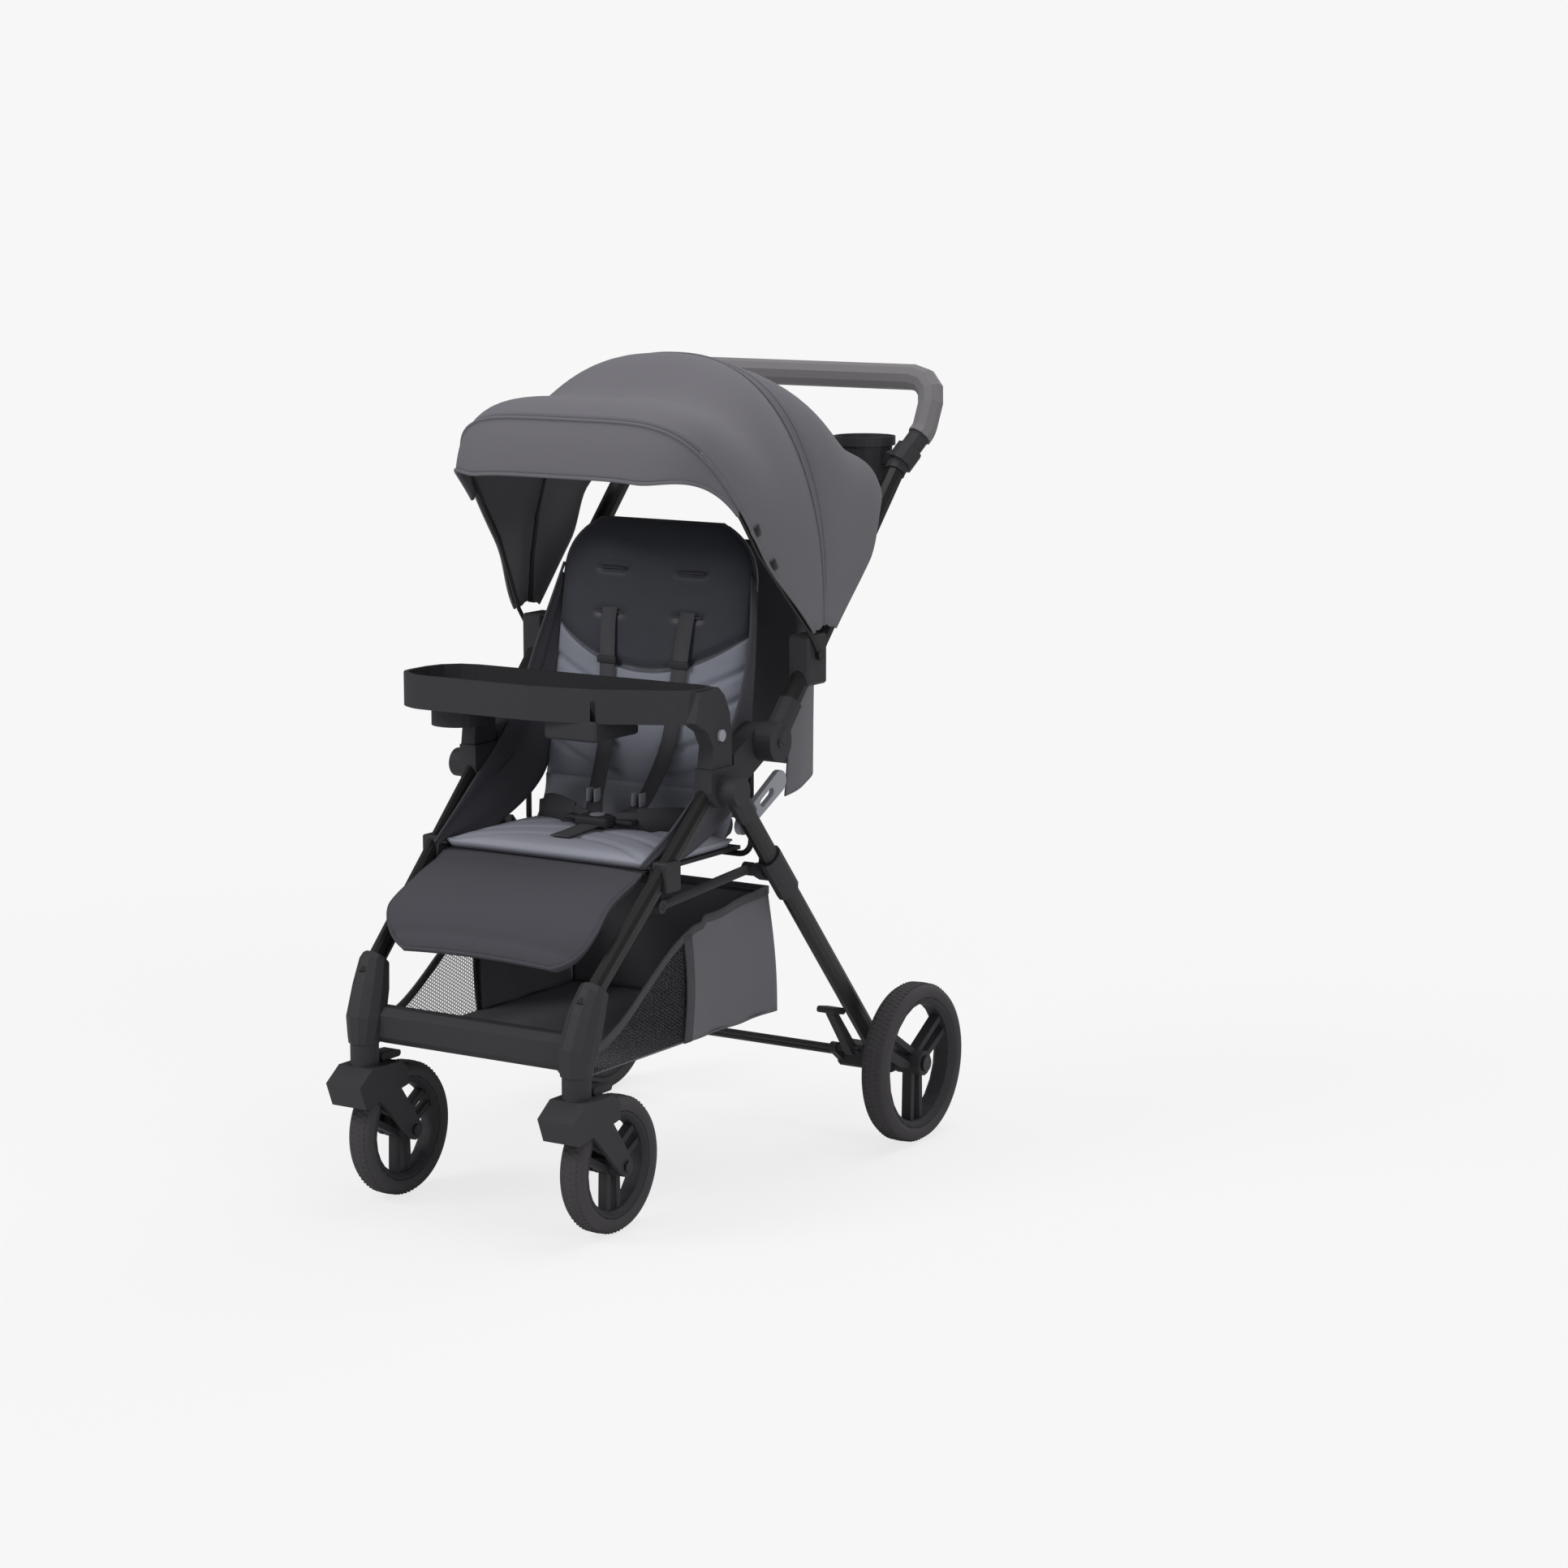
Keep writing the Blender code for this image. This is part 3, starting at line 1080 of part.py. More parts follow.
def origin_places():
    """The point on its joint axis for each moving piece, by the start of its name."""
    slope = rear_leg_line()[1]
    hood_back = -CASTOR_TRAIL + POST_R
    places = [(side_point(0, KNUCKLE), ("push_", "handle_bar", "foam_grip", "cup_holder",
                                        "canopy_mount", "canopy_rear", "canopy_front_panel")),
              (side_point(0, CANOPY_PIVOT), ("canopy_front_bow", "canopy_visor")),
              (side_point(0, REAR_PIVOT), ("rear_leg", "rear_axle", "axle_housing")),
              (side_point(0, RAIL_FRONT), ("seat_rail",)),
              (side_point(0, BIGHT), ("seat_back", "seat_shell", "shoulder", "harness")),
              (side_point(0, BRAKE_ROD), ("brake_bar",)),
              (side_point(0, along(REAR_PIVOT, slope, LATCH_REACH)), ("storage_latch",)),
              (at(0, BUCKLE_Y, PAN_BOTTOM + PAN_THICK + CUSHION_THICK), ("buckle_button",))]
    for side, sign in SIDES:
        x = sign * FRONT_TRACK / 2
        places += [
            (at(x, -CASTOR_TRAIL, POST_TOP), (f"castor_fork_{side}",)),
            (at(x, 0, FRONT_WHEEL_R), (f"front_tyre_{side}", f"front_hub_{side}",
                                       f"front_axle_bolt_{side}")),
            (at(x, hood_back + 0.006, POST_FOOT + 0.0416), (f"swivel_lock_{side}",)),
            (at(sign * REAR_TRACK / 2, WHEELBASE, REAR_WHEEL_R), (f"rear_tyre_{side}",
                                                                  f"rear_hub_{side}")),
            (side_point(sign * REAR_LEG_X, along(REAR_PIVOT, slope, COLLAR_REACH)),
             (f"leg_collar_{side}",)),
            (at(sign * TRAY_ARM_X[1], TRAY_POST[1], SHELF_Z), (f"tray_button_{side}",))]
    return places + [(at(-TRAY_POST[0], TRAY_POST[1], SHELF_Z), ("tray",))]


def set_origins():
    places = origin_places()
    for piece in PARTS.objects:
        for point, starts in places:
            if piece.name.startswith(starts):
                piece.data.transform(Matrix.Translation(-point))
                piece.location = point
                break


front_casting()
front_legs()
side_brackets()
seat_pan()
seat_hanger()
for label, direction in SIDES:
    castor(label, direction)
    wheel("rear", label, at(direction * REAR_TRACK / 2, WHEELBASE, REAR_WHEEL_R), REAR_WHEEL_R,
          REAR_TYRE_W, 0.017, REAR_AXLE_R)
rear_frame()
brake_bar()
seat_rails()
leg_collars()
storage_latch()
push_frame()
cup_holder()
canopy()
seat()
seat_back()
harness()
basket()
tray()
set_origins()
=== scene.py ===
"""Soft goods, finishes, light and camera for a folding child stroller.

Metres, +Z up, the stroller faces -Y. Lengths along Y are written from the front
axle, and place() shifts them to the model's own origin.
"""

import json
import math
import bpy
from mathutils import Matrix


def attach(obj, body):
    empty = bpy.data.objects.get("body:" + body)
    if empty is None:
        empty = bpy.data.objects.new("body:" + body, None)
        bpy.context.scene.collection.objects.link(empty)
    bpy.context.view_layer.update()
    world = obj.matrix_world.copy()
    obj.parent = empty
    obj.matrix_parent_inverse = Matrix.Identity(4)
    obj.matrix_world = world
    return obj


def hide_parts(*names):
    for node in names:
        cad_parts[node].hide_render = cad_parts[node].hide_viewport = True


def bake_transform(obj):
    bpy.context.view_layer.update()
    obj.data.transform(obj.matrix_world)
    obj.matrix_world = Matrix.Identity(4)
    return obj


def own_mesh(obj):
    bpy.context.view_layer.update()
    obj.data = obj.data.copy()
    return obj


bl_info = {
    "name": "Stroller Builder",
    "version": (1, 0, 0),
    "blender": (4, 5, 0),
    "location": "3D View > Sidebar > Stroller",
    "description": "Dresses a stroller frame with its canopy, seat, basket and finishes",
    "category": "Object",
}

import bmesh
import bpy
from bpy.props import FloatProperty, FloatVectorProperty, IntProperty, PointerProperty
from mathutils import Vector

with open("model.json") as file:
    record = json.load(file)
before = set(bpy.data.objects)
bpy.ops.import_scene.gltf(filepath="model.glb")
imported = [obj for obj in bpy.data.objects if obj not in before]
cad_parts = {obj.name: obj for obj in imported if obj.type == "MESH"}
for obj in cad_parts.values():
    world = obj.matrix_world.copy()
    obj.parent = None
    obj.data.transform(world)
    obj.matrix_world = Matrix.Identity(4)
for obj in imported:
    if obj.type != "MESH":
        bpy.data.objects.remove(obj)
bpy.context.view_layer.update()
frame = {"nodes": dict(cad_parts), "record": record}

# The front axle's place along Y, and the sign of X on each side
Y_SHIFT = -0.2948
SIDES = (("left", 1), ("right", -1))

# Canopy: pivot line, angles of hoops and edges, reaches, half widths, squareness and slack
CANOPY_PIVOT = (0.3885, 0.6900)
FRONT_BOW, REAR_BOW = math.radians(127.0), math.radians(88.0)
REAR_EDGE, REAR_LIFT = math.radians(46.0), math.radians(6.0)
VISOR_GAP, VISOR_SWEEP, VISOR_END = math.radians(0.6), math.radians(10.0), 0.52
FRONT_ARCH, TOP_ARCH, REAR_ARCH, VISOR_ARCH = 0.392, 0.383, 0.287, 0.356
FOOT_HALF_W, TOP_HALF_W, FRONT_HALF_W = 0.240, 0.243, 0.214
CANOPY_WAIST = (0.036, 0.170)
FRONT_POWER, TOP_POWER, EDGE_POWER = 5.0, 2.3, 10.0
FRONT_SLACK, REAR_SLACK, HOOP_BAND = 0.036, 0.030, 0.074
HOOP_TURN = 0.50

# Seat: where back and cushion meet, the back's lean, its seam, channels and strap slots
BIGHT = (0.332, 0.462)
BACK_SLOPE = math.radians(82.3)
BACK_START, BACK_LENGTH = 0.013, 0.382
SEAM_HEIGHT, SEAM_CURVE = 0.658, 2.4
CHANNEL_PITCH, CHANNEL_CURVE = 0.036, 2.0
SLOT_ROWS, SLOT_X = (0.728, 0.786), 0.062
CUSHION_FLOOR, CUSHION_TOP, CUSHION_HALF_W = 0.4423, 0.4658, 0.1565
CUSHION_FRONT, CUSHION_REAR = 0.1003, 0.2935
LEG_REST_FRONT, LEG_REST_REAR = (-0.060, 0.360), (0.0945, 0.4420)
BUCKLE_Y = 0.215

# Points of a seat wing's edges. WING_TOP and WING_SEAT: half width, length, height.
# WING_BACK: distance up the back, height over it, half width.
WING_TOP = ((0.168, 0.318, 0.690), (0.172, 0.262, 0.590), (0.170, 0.160, 0.505),
            (0.162, 0.080, 0.452))
WING_BACK = ((0.300, 0.012, 0.1515), (0.180, 0.014, 0.1545), (0.050, 0.020, 0.1585))
WING_SEAT = ((0.1600, 0.200, 0.452), (0.1600, 0.100, 0.446))

# Basket: half width, floor height, both ends and where net and cloth sides meet
BASKET_HALF_W, BASKET_FLOOR = 0.1675, 0.207
BASKET_FRONT, NET_END, BASKET_REAR = -0.0318, 0.178, 0.3905

# Wheels: half track, length, radius and tyre width
WHEELS = {"front": (0.166, 0.0, 0.0883, 0.036), "rear": (0.2614, 0.5839, 0.1097, 0.040)}

# Webbing's section, in shares of its half width and half thickness
STRAP_SECTION = ((0.96, 1), (1, 0.2), (0.96, -1), (-0.96, -1), (-1, -0.2), (-0.96, 1))


def place(x, y, z):
    """A point whose length is given from the front axle."""
    return Vector((x, y + Y_SHIFT, z))


def smooth(value, low=0.0, high=1.0):
    """A soft step from 0 at low to 1 at high."""
    share = min(1.0, max(0.0, (value - low) / (high - low)))
    return share * share * (3 - 2 * share)


def dip(distance, width):
    """The depth share of a soft groove at a distance from its line."""
    return math.exp(-(distance / width) ** 2)


def hump(share):
    """0 at both ends and 1 in the middle."""
    return math.sin(math.pi * share)


def squared(c, s, power):
    """The reach of a squared-off circle in the direction (c, s)."""
    return 1 / (abs(c) ** power + abs(s) ** power) ** (1 / power)


# Sizes and colours that a user would change


class StrollerCloth(bpy.types.PropertyGroup):
    canopy: FloatVectorProperty(
        name="Canopy cloth", description="Colour of the canopy and basket cloth",
        subtype="COLOR", default=(0.070, 0.066, 0.078), min=0, max=1)
    satin: FloatVectorProperty(
        name="Dark satin", description="Colour of the seat's smooth dark cloth",
        subtype="COLOR", default=(0.030, 0.032, 0.043), min=0, max=1)
    light: FloatVectorProperty(
        name="Light cloth", description="Colour of the seat's light cloth",
        subtype="COLOR", default=(0.215, 0.224, 0.272), min=0, max=1)
    webbing: FloatVectorProperty(
        name="Webbing", description="Colour of the harness straps",
        subtype="COLOR", default=(0.034, 0.034, 0.040), min=0, max=1)
    thread: FloatProperty(
        name="Thread", description="Distance between two threads of the canopy cloth",
        default=0.0011, unit="LENGTH", min=0.0003, max=0.01)


class StrollerHardware(bpy.types.PropertyGroup):
    plastic: FloatVectorProperty(
        name="Plastic", description="Colour of the moulded frame joints and tray",
        subtype="COLOR", default=(0.0085, 0.0085, 0.0096), min=0, max=1)
    tube: FloatVectorProperty(
        name="Painted tube", description="Colour of the frame tubes",
        subtype="COLOR", default=(0.0060, 0.0060, 0.0068), min=0, max=1)
    tyre: FloatVectorProperty(
        name="Tyre", description="Colour of the tyres",
        subtype="COLOR", default=(0.026, 0.025, 0.027), min=0, max=1)
    grip: FloatVectorProperty(
        name="Grip foam", description="Colour of the handle's foam",
        subtype="COLOR", default=(0.092, 0.088, 0.096), min=0, max=1)
    latch: FloatVectorProperty(
        name="Latch", description="Colour of the storage latch and buttons",
        subtype="COLOR", default=(0.190, 0.198, 0.225), min=0, max=1)
    tread_pitch: FloatProperty(
        name="Tread pitch", description="Distance between two tread bars round a tyre",
        default=0.0072, unit="LENGTH", min=0.004, max=0.05)


class StrollerSewing(bpy.types.PropertyGroup):
    stitch: FloatProperty(
        name="Stitch length", description="Length of one visible stitch",
        default=0.0042, unit="LENGTH", min=0.001, max=0.02)
    piping: FloatProperty(
        name="Piping radius", description="Radius of the piping on sewn edges",
        default=0.0022, unit="LENGTH", min=0.0005, max=0.01)
    channel_depth: FloatProperty(
        name="Channel depth", description="How deep the seat's sewn channels sink",
        default=0.0055, unit="LENGTH", min=0.0, max=0.02)
    channels: IntProperty(
        name="Back channels", description="Number of sewn channels on the lower seat back",
        default=4, min=0, max=10)


class StrollerStage(bpy.types.PropertyGroup):
    floor: FloatVectorProperty(
        name="Floor", description="Colour of the floor and backdrop",
        subtype="COLOR", default=(0.80, 0.80, 0.80), min=0, max=1)
    lens: FloatProperty(
        name="Lens", description="Focal length of the camera in millimetres",
        default=86.2, min=10, max=300)


# Shader maths


class Num:
    """A number socket whose Python operators add Math nodes."""

    def __init__(self, shader, socket):
        self.shader, self.socket = shader, socket

    def _do(self, operation, *values):
        made = self.shader.node("ShaderNodeMath", {"operation": operation},
                                [v.socket if isinstance(v, Num) else v for v in values])
        return Num(self.shader, made.outputs[0])

    def __add__(self, other):
        return self._do("ADD", self, other)

    def __sub__(self, other):
        return self._do("SUBTRACT", self, other)

    def __mul__(self, other):
        return self._do("MULTIPLY", self, other)

    def __rsub__(self, other):
        return self._do("SUBTRACT", other, self)

    def __pow__(self, other):
        return self._do("POWER", self, other)

    __radd__, __rmul__ = __add__, __mul__

    def wave(self):
        return self._do("SINE", self) * 0.5 + 0.5

    def size(self):
        return self._do("ABSOLUTE", self)

    def cosine(self):
        return self._do("COSINE", self)

    def most(self, other):
        return self._do("MAXIMUM", self, other)

    def step(self, low, high):
        """0 below low, 1 above high and soft between."""
        made = self.shader.node("ShaderNodeMapRange", {"interpolation_type": "SMOOTHSTEP"},
                                [self.socket, low, high, 0.0, 1.0])
        return Num(self.shader, made.outputs[0])


class Shader:
    """A node tree of a new material, or of the owner given, written as expressions."""

    def __init__(self, name, owner=None):
        self.owner = owner or bpy.data.materials.new(name)
        self.owner.use_nodes = True
        self.tree = self.owner.node_tree
        self.surface = self.tree.nodes.get("Principled BSDF")

    def node(self, kind, settings=None, values=()):
        """Any node: its type, its settings, then its input values or links in order or by name."""
        made = self.tree.nodes.new(kind)
        for key, value in (settings or {}).items():
            setattr(made, key, value)
        pairs = values.items() if isinstance(values, dict) else enumerate(values)
        for key, value in pairs:
            self.feed(made.inputs[key], value)
        return made

    def feed(self, socket, value):
        value = value.socket if isinstance(value, Num) else value
        if isinstance(value, bpy.types.NodeSocket):
            self.tree.links.new(value, socket)
        elif value is not None:
            if socket.type == "RGBA" and len(value) == 3:
                value = (*value, 1.0)
            socket.default_value = value

    def object_point(self):
        return self.node("ShaderNodeTexCoord").outputs["Object"]

    def axes(self):
        made = self.node("ShaderNodeSeparateXYZ", values=[self.object_point()])
        return [Num(self, made.outputs[i]) for i in range(3)]

    def noise(self, scale, detail=2.0, roughness=0.5):
        made = self.node("ShaderNodeTexNoise", values={
            "Vector": self.object_point(), "Scale": scale, "Detail": detail,
            "Roughness": roughness})
        return Num(self, made.outputs["Fac"])

    def mix(self, share, first, second):
        """A colour between two colours or colour sockets."""
        made = self.node("ShaderNodeMix", {"data_type": "RGBA"})
        for key, value in ((0, share), (6, first), (7, second)):
            self.feed(made.inputs[key], value)
        return made.outputs[2]

    def tones(self, share, colour, dark, bright):
        """A colour between a darker and a brighter shade of one colour."""
        return self.mix(share, shade(colour, dark), shade(colour, bright))

    def mix_shader(self, share, first, second):
        return self.node("ShaderNodeMixShader", values=[share, first, second]).outputs[0]

    def bump(self, height, strength, distance):
        made = self.node("ShaderNodeBump", values={
            "Strength": strength, "Distance": distance, "Height": height})
        return made.outputs["Normal"]

    def finish(self, base, rough, specular, normal=None, **more):
        sockets = {"Base Color": base, "Roughness": rough, "Specular IOR Level": specular,
                   "Normal": normal, **more}
        for key, value in sockets.items():
            self.feed(self.surface.inputs[key.replace("_", " ")], value)
        return self.owner


def shade(colour, factor):
    """The colour made lighter or darker by a factor."""
    return tuple(channel * factor for channel in colour)


def woven(name, colour, thread, rough=0.82, depth=0.35, sheen=0.25, mottle=0.16):
    """Woven cloth: crossing threads, a slight slub and soft sheen."""
    s = Shader(name)
    x, y, z = s.axes()
    pitch = 2 * math.pi / thread
    warp = ((x + y * 0.35) * pitch).wave()
    weft = ((z + y * 0.90) * pitch).wave()
    cross = warp * weft + (1 - warp) * (1 - weft)
    slub = s.noise(260.0, 3.0, 0.6)
    cloud = s.noise(9.0, 3.0, 0.55)
    tone = cross * 0.30 + slub * 0.35 + cloud * 0.35
    base = s.tones(tone, colour, 1 - mottle, 1 + mottle)
    height = cross * 0.7 + slub * 0.3
    return s.finish(base, rough, 0.25, s.bump(height, depth, 0.0004), Sheen_Weight=sheen,
                    Sheen_Roughness=0.45)


def satin(name, colour, rough=0.46, crease=0.30):
    """Smooth coated cloth with soft creases."""
    s = Shader(name)
    cloud = s.noise(14.0, 4.0, 0.6)
    fine = s.noise(900.0, 2.0, 0.5)
    wrinkle = s.noise(34.0, 3.0, 0.62)
    base = s.tones(cloud, colour, 0.86, 1.16)
    roughness = rough + (cloud - 0.5) * 0.16 + (fine - 0.5) * 0.10
    height = wrinkle * 0.8 + fine * 0.05
    return s.finish(base, roughness, 0.45, s.bump(height, crease, 0.0016), Sheen_Weight=0.30,
                    Sheen_Roughness=0.35)


def seat_back_cloth(name, dark, light):
    """Dark satin above a U-shaped seam and light woven cloth below it."""
    s = Shader(name)
    x, _, z = s.axes()
    border = z - (x * x) * SEAM_CURVE - SEAM_HEIGHT
    upper = border.step(-0.0006, 0.0006)
    seam = 1 - border.size().step(0.0008, 0.0030)
    cloud = s.noise(12.0, 4.0, 0.6)
    fine = s.noise(700.0, 3.0, 0.6)
    wrinkle = s.noise(30.0, 3.0, 0.6)
    low = s.tones(cloud, light, 0.90, 1.10)
    high = s.tones(cloud, dark, 0.84, 1.18)
    base = s.mix(seam * 0.75, s.mix(upper, low, high), shade(dark, 0.7))
    roughness = 0.80 - upper * 0.34 + (fine - 0.5) * 0.10
    height = fine * 0.10 + wrinkle * (upper * 0.6 + 0.2) - seam * 0.8
    return s.finish(base, roughness, 0.38, s.bump(height, 0.35, 0.0014), Sheen_Weight=0.30,
                    Sheen_Roughness=0.4)


def webbing_cloth(name, colour):
    """Tight woven strap with a ribbed cross pattern."""
    s = Shader(name)
    x, y, z = s.axes()
    rib = ((y + z) * (2 * math.pi / 0.0022)).wave()
    cord = (x * (2 * math.pi / 0.0016)).wave()
    fine = s.noise(500.0, 2.0, 0.5)
    base = s.tones(rib * 0.5 + fine * 0.5, colour, 0.72, 1.35)
    return s.finish(base, 0.72, 0.3, s.bump(rib * cord, 0.4, 0.0005), Sheen_Weight=0.2)


def moulded(name, colour, rough=0.44, grain=1400.0, depth=0.10):
    """Moulded plastic with a fine spark grain, a painted highlight on its convex edges, and those
    edges a little less rough.
    """
    s = Shader(name)
    fine = s.noise(grain, 2.0, 0.5)
    cloud = s.noise(22.0, 3.0, 0.5)
    edge = Num(s, s.node("ShaderNodeNewGeometry").outputs["Pointiness"]).step(0.51, 0.56)
    base = s.tones(cloud, colour, 0.86, 1.18)
    # Painted highlight: convex edges, found by pointiness, are lightened towards 2.4 times the
    # colour; the same mask also lowers the roughness a little.
    base = s.mix(edge * 0.35, base, shade(colour, 2.4))
    roughness = rough + (cloud - 0.5) * 0.12 + (fine - 0.5) * 0.08 - edge * 0.06
    return s.finish(base, roughness, 0.36, s.bump(fine, depth, 0.0002))


def painted(name, colour):
    """Gloss paint on metal tube, with faint orange peel."""
    s = Shader(name)
    peel = s.noise(420.0, 2.0, 0.45)
    cloud = s.noise(16.0, 3.0, 0.5)
    base = s.tones(cloud, colour, 0.9, 1.15)
    return s.finish(base, (cloud - 0.5) * 0.08 + 0.24, 0.6, s.bump(peel, 0.05, 0.0003),
                    Coat_Weight=0.5, Coat_Roughness=0.12)


def rubber(name, colour):
    """Moulded tyre: matt, dusty, with faint scuffs."""
    s = Shader(name)
    fine = s.noise(700.0, 3.0, 0.6)
    dust = s.noise(40.0, 4.0, 0.65)
    base = s.tones(dust.step(0.35, 0.75), colour, 0.85, 1.35)
    return s.finish(base, 0.66 + (dust - 0.5) * 0.2, 0.35, s.bump(fine, 0.2, 0.0004))


def foam(name, colour):
    """Closed-cell foam with tiny open pits."""
    s = Shader(name)
    pits = s.noise(950.0, 3.0, 0.7)
    cloud = s.noise(30.0, 3.0, 0.5)
    base = s.tones(pits.step(0.30, 0.62), colour, 0.72, 1.10)
    base = s.mix(cloud * 0.25, base, shade(colour, 1.25))
    return s.finish(base, 0.93, 0.2, s.bump(pits, 0.55, 0.0005), Sheen_Weight=0.2)


def net(name, colour, hole=0.0042):
    """Hexagonal basket net with see-through holes."""
    s = Shader(name)
    x, y, z = s.axes()
    k = 2 * math.pi / hole
    across = (y + x) * k
    up = z * (k / 1.732)
    half = across * 0.5
    row = across.cosine() + (half + up * 1.5).cosine() + (half - up * 1.5).cosine()
    thread = 1 - row.step(-0.15, 0.45)
    base = s.tones(s.noise(400.0), colour, 0.8, 1.2)
    made = s.finish(base, 0.75, 0.3, Alpha=thread * 0.52 + 0.06)
    made.blend_method = "HASHED"
    return made


# Meshes


def add_object(name, data, finish=None):
    """An object in the scene around a mesh, lamp or camera."""
    if finish:
        data.materials.append(bpy.data.materials[finish])
    made = bpy.data.objects.new(name, data)
    bpy.context.scene.collection.objects.link(made)
    return made


def shape_of(name, bm, finish=None):
    """An object from a bmesh, which is freed."""
    mesh = bpy.data.meshes.new(name)
    bm.to_mesh(mesh)
    bm.free()
    return add_object(name, mesh, finish)


def new_piece(name, verts, faces, finish, weld=True):
    """A smooth-shaded mesh object from points and faces."""
    mesh = bpy.data.meshes.new(name)
    mesh.from_pydata([tuple(v) for v in verts], [], faces)
    bm = bmesh.new()
    bm.from_mesh(mesh)
    if weld:
        bmesh.ops.remove_doubles(bm, verts=bm.verts, dist=0.00002)
    bmesh.ops.recalc_face_normals(bm, faces=bm.faces)
    bm.to_mesh(mesh)
    bm.free()
    mesh.shade_smooth()
    return add_object(name, mesh, finish)


def carried(piece, slot, body, *nodes):
    """Hides the nodes that a piece replaces and parents the piece to the body that carries it;
    slot is not used.
    """
    if nodes:
        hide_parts(*nodes)
    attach(piece, body)


def facing(piece, direction):
    """Turns an open sheet so that its faces look the way given for each point, on the whole."""
    bm = bmesh.new()
    bm.from_mesh(piece.data)
    total = sum(face.normal.dot(direction(face.calc_center_median())) * face.calc_area()
                for face in bm.faces)
    if total < 0:
        bmesh.ops.reverse_faces(bm, faces=bm.faces)
        bm.to_mesh(piece.data)
    bm.free()


def sheet(name, point, across, down, finish, wall, outward):
    """A sheet from a function of two shares, with a wall added behind its outer side."""
    verts = [point(i / across, j / down) for j in range(down + 1) for i in range(across + 1)]
    row = across + 1
    faces = [(j * row + i, j * row + i + 1, (j + 1) * row + i + 1, (j + 1) * row + i)
             for j in range(down) for i in range(across)]
    piece = new_piece(name, verts, faces, finish)
    facing(piece, outward)
    shell = piece.modifiers.new("wall", "SOLIDIFY")
    shell.thickness, shell.offset, shell.use_even_offset = wall, -1.0, True
    return piece


def declare_cloth(point):
    """Measures the cut size of a sheet made from point() along its own middle lines, and keeps
    nothing.
    """
    across = [point(i / 60, 0.5) for i in range(61)]
    down = [point(0.5, j / 60) for j in range(61)]
    width, length = (sum((b - a).length for a, b in zip(line, line[1:]))
                     for line in (across, down))


def along(point, v, count, low=0.0, high=1.0):
    """Points of a sheet on a line across it."""
    return [point(low + (high - low) * i / count, v) for i in range(count + 1)]


def lofted(name, rings, finish):
    """A solid through rings of points, capped at both ends."""
    n = len(rings[0])
    faces = [(i * n + k, i * n + (k + 1) % n, (i + 1) * n + (k + 1) % n, (i + 1) * n + k)
             for i in range(len(rings) - 1) for k in range(n)]
    faces += [tuple(range(n))[::-1], tuple((len(rings) - 1) * n + k for k in range(n))]
    return new_piece(name, [v for ring in rings for v in ring], faces, finish)


def bar(name, points, radius, finish, squash=1.0, sides=8):
    """A round or flattened rod along a path, mitred at its corners."""
    points = [Vector(p) for p in points]
    rings, side = [], None
    for i, here in enumerate(points):
        into = (here - points[i - 1] if i else points[1] - here).normalized()
        out = (points[i + 1] - here).normalized() if i + 1 < len(points) else into
        if side is None:
            side = Vector((1, 0, 0)) - into * into.x
            if side.length < 0.2:
                side = Vector((0, 1, 0)) - into * into.y
            side.normalize()
        middle = (into + out).normalized()
        up = into.cross(side)
        ring = []
        for k in range(sides):
            turn = 2 * math.pi * k / sides
            arm = (side * math.cos(turn) + up * math.sin(turn) * squash) * radius
            ring.append(here + arm - into * (arm.dot(middle) / max(0.2, into.dot(middle))))
        rings.append(ring)
        side = (into.rotation_difference(out) @ side).normalized()
    return lofted(name, rings, finish)


def trim(name, path, radius, slot, body):
    """Piping in the finish of its slot, carried by a body."""
    carried(bar(name, path, radius, slot), slot, body)


def strap(name, points, width, thick, finish, across=Vector((1, 0, 0))):
    """Flat webbing along a path, with softly rounded edges."""
    points = [Vector(p) for p in points]
    rings = []
    for i, here in enumerate(points):
        travel = (points[min(i + 1, len(points) - 1)] - points[max(i - 1, 0)]).normalized()
        side = (across - travel * across.dot(travel)).normalized() * width / 2
        face = travel.cross(side).normalized() * thick / 2
        rings.append([here + side * out + face * up for out, up in STRAP_SECTION])
    return lofted(name, rings, finish)


def curve_through(points, count=40):
    """Evenly spread points on a smooth curve through a few."""
    points = [Vector(p) for p in points]
    path = []
    padded = [points[0] * 2 - points[1], *points, points[-1] * 2 - points[-2]]
    per = max(2, count // (len(points) - 1))
    for i in range(1, len(padded) - 2):
        a, b, c, d = padded[i - 1:i + 3]
        for step in range(per):
            t = step / per
            path.append(0.5 * ((2 * b) + (c - a) * t + (2 * a - 5 * b + 4 * c - d) * t * t
                               + (3 * b - a - 3 * c + d) * t ** 3))
    path.append(points[-1])
    return path


def block(name, low, high, finish, round_by, steps=2):
    """A box with rounded edges."""
    bm = bmesh.new()
    bmesh.ops.create_cube(bm, size=1.0)
    low, high = Vector(low), Vector(high)
    for vert in bm.verts:
        vert.co = Vector(low[i] + (vert.co[i] + 0.5) * (high[i] - low[i]) for i in range(3))
    bmesh.ops.bevel(bm, geom=bm.edges[:], offset=round_by, segments=steps, affect="EDGES",
                    profile=0.5)
    piece = shape_of(name, bm, finish)
    piece.data.shade_smooth()
    piece.data.set_sharp_from_angle(angle=math.radians(40))
    return piece


def ring_about_x(name, profile, centre, sides, finish):
    """A turned ring about an X axis from (x offset, radius) pairs."""
    count = len(profile)
    verts, faces = [], []
    for i in range(sides):
        turn = 2 * math.pi * i / sides
        verts += [Vector(centre) + Vector((dx, r * math.cos(turn), r * math.sin(turn)))
                  for dx, r in profile]
        a, b = i * count, ((i + 1) % sides) * count
        for j in range(count):
            k = (j + 1) % count
            faces.append((a + j, a + k, b + k, b + j))
    piece = new_piece(name, verts, faces, finish)
    piece.data.set_sharp_from_angle(angle=math.radians(50))
    return piece


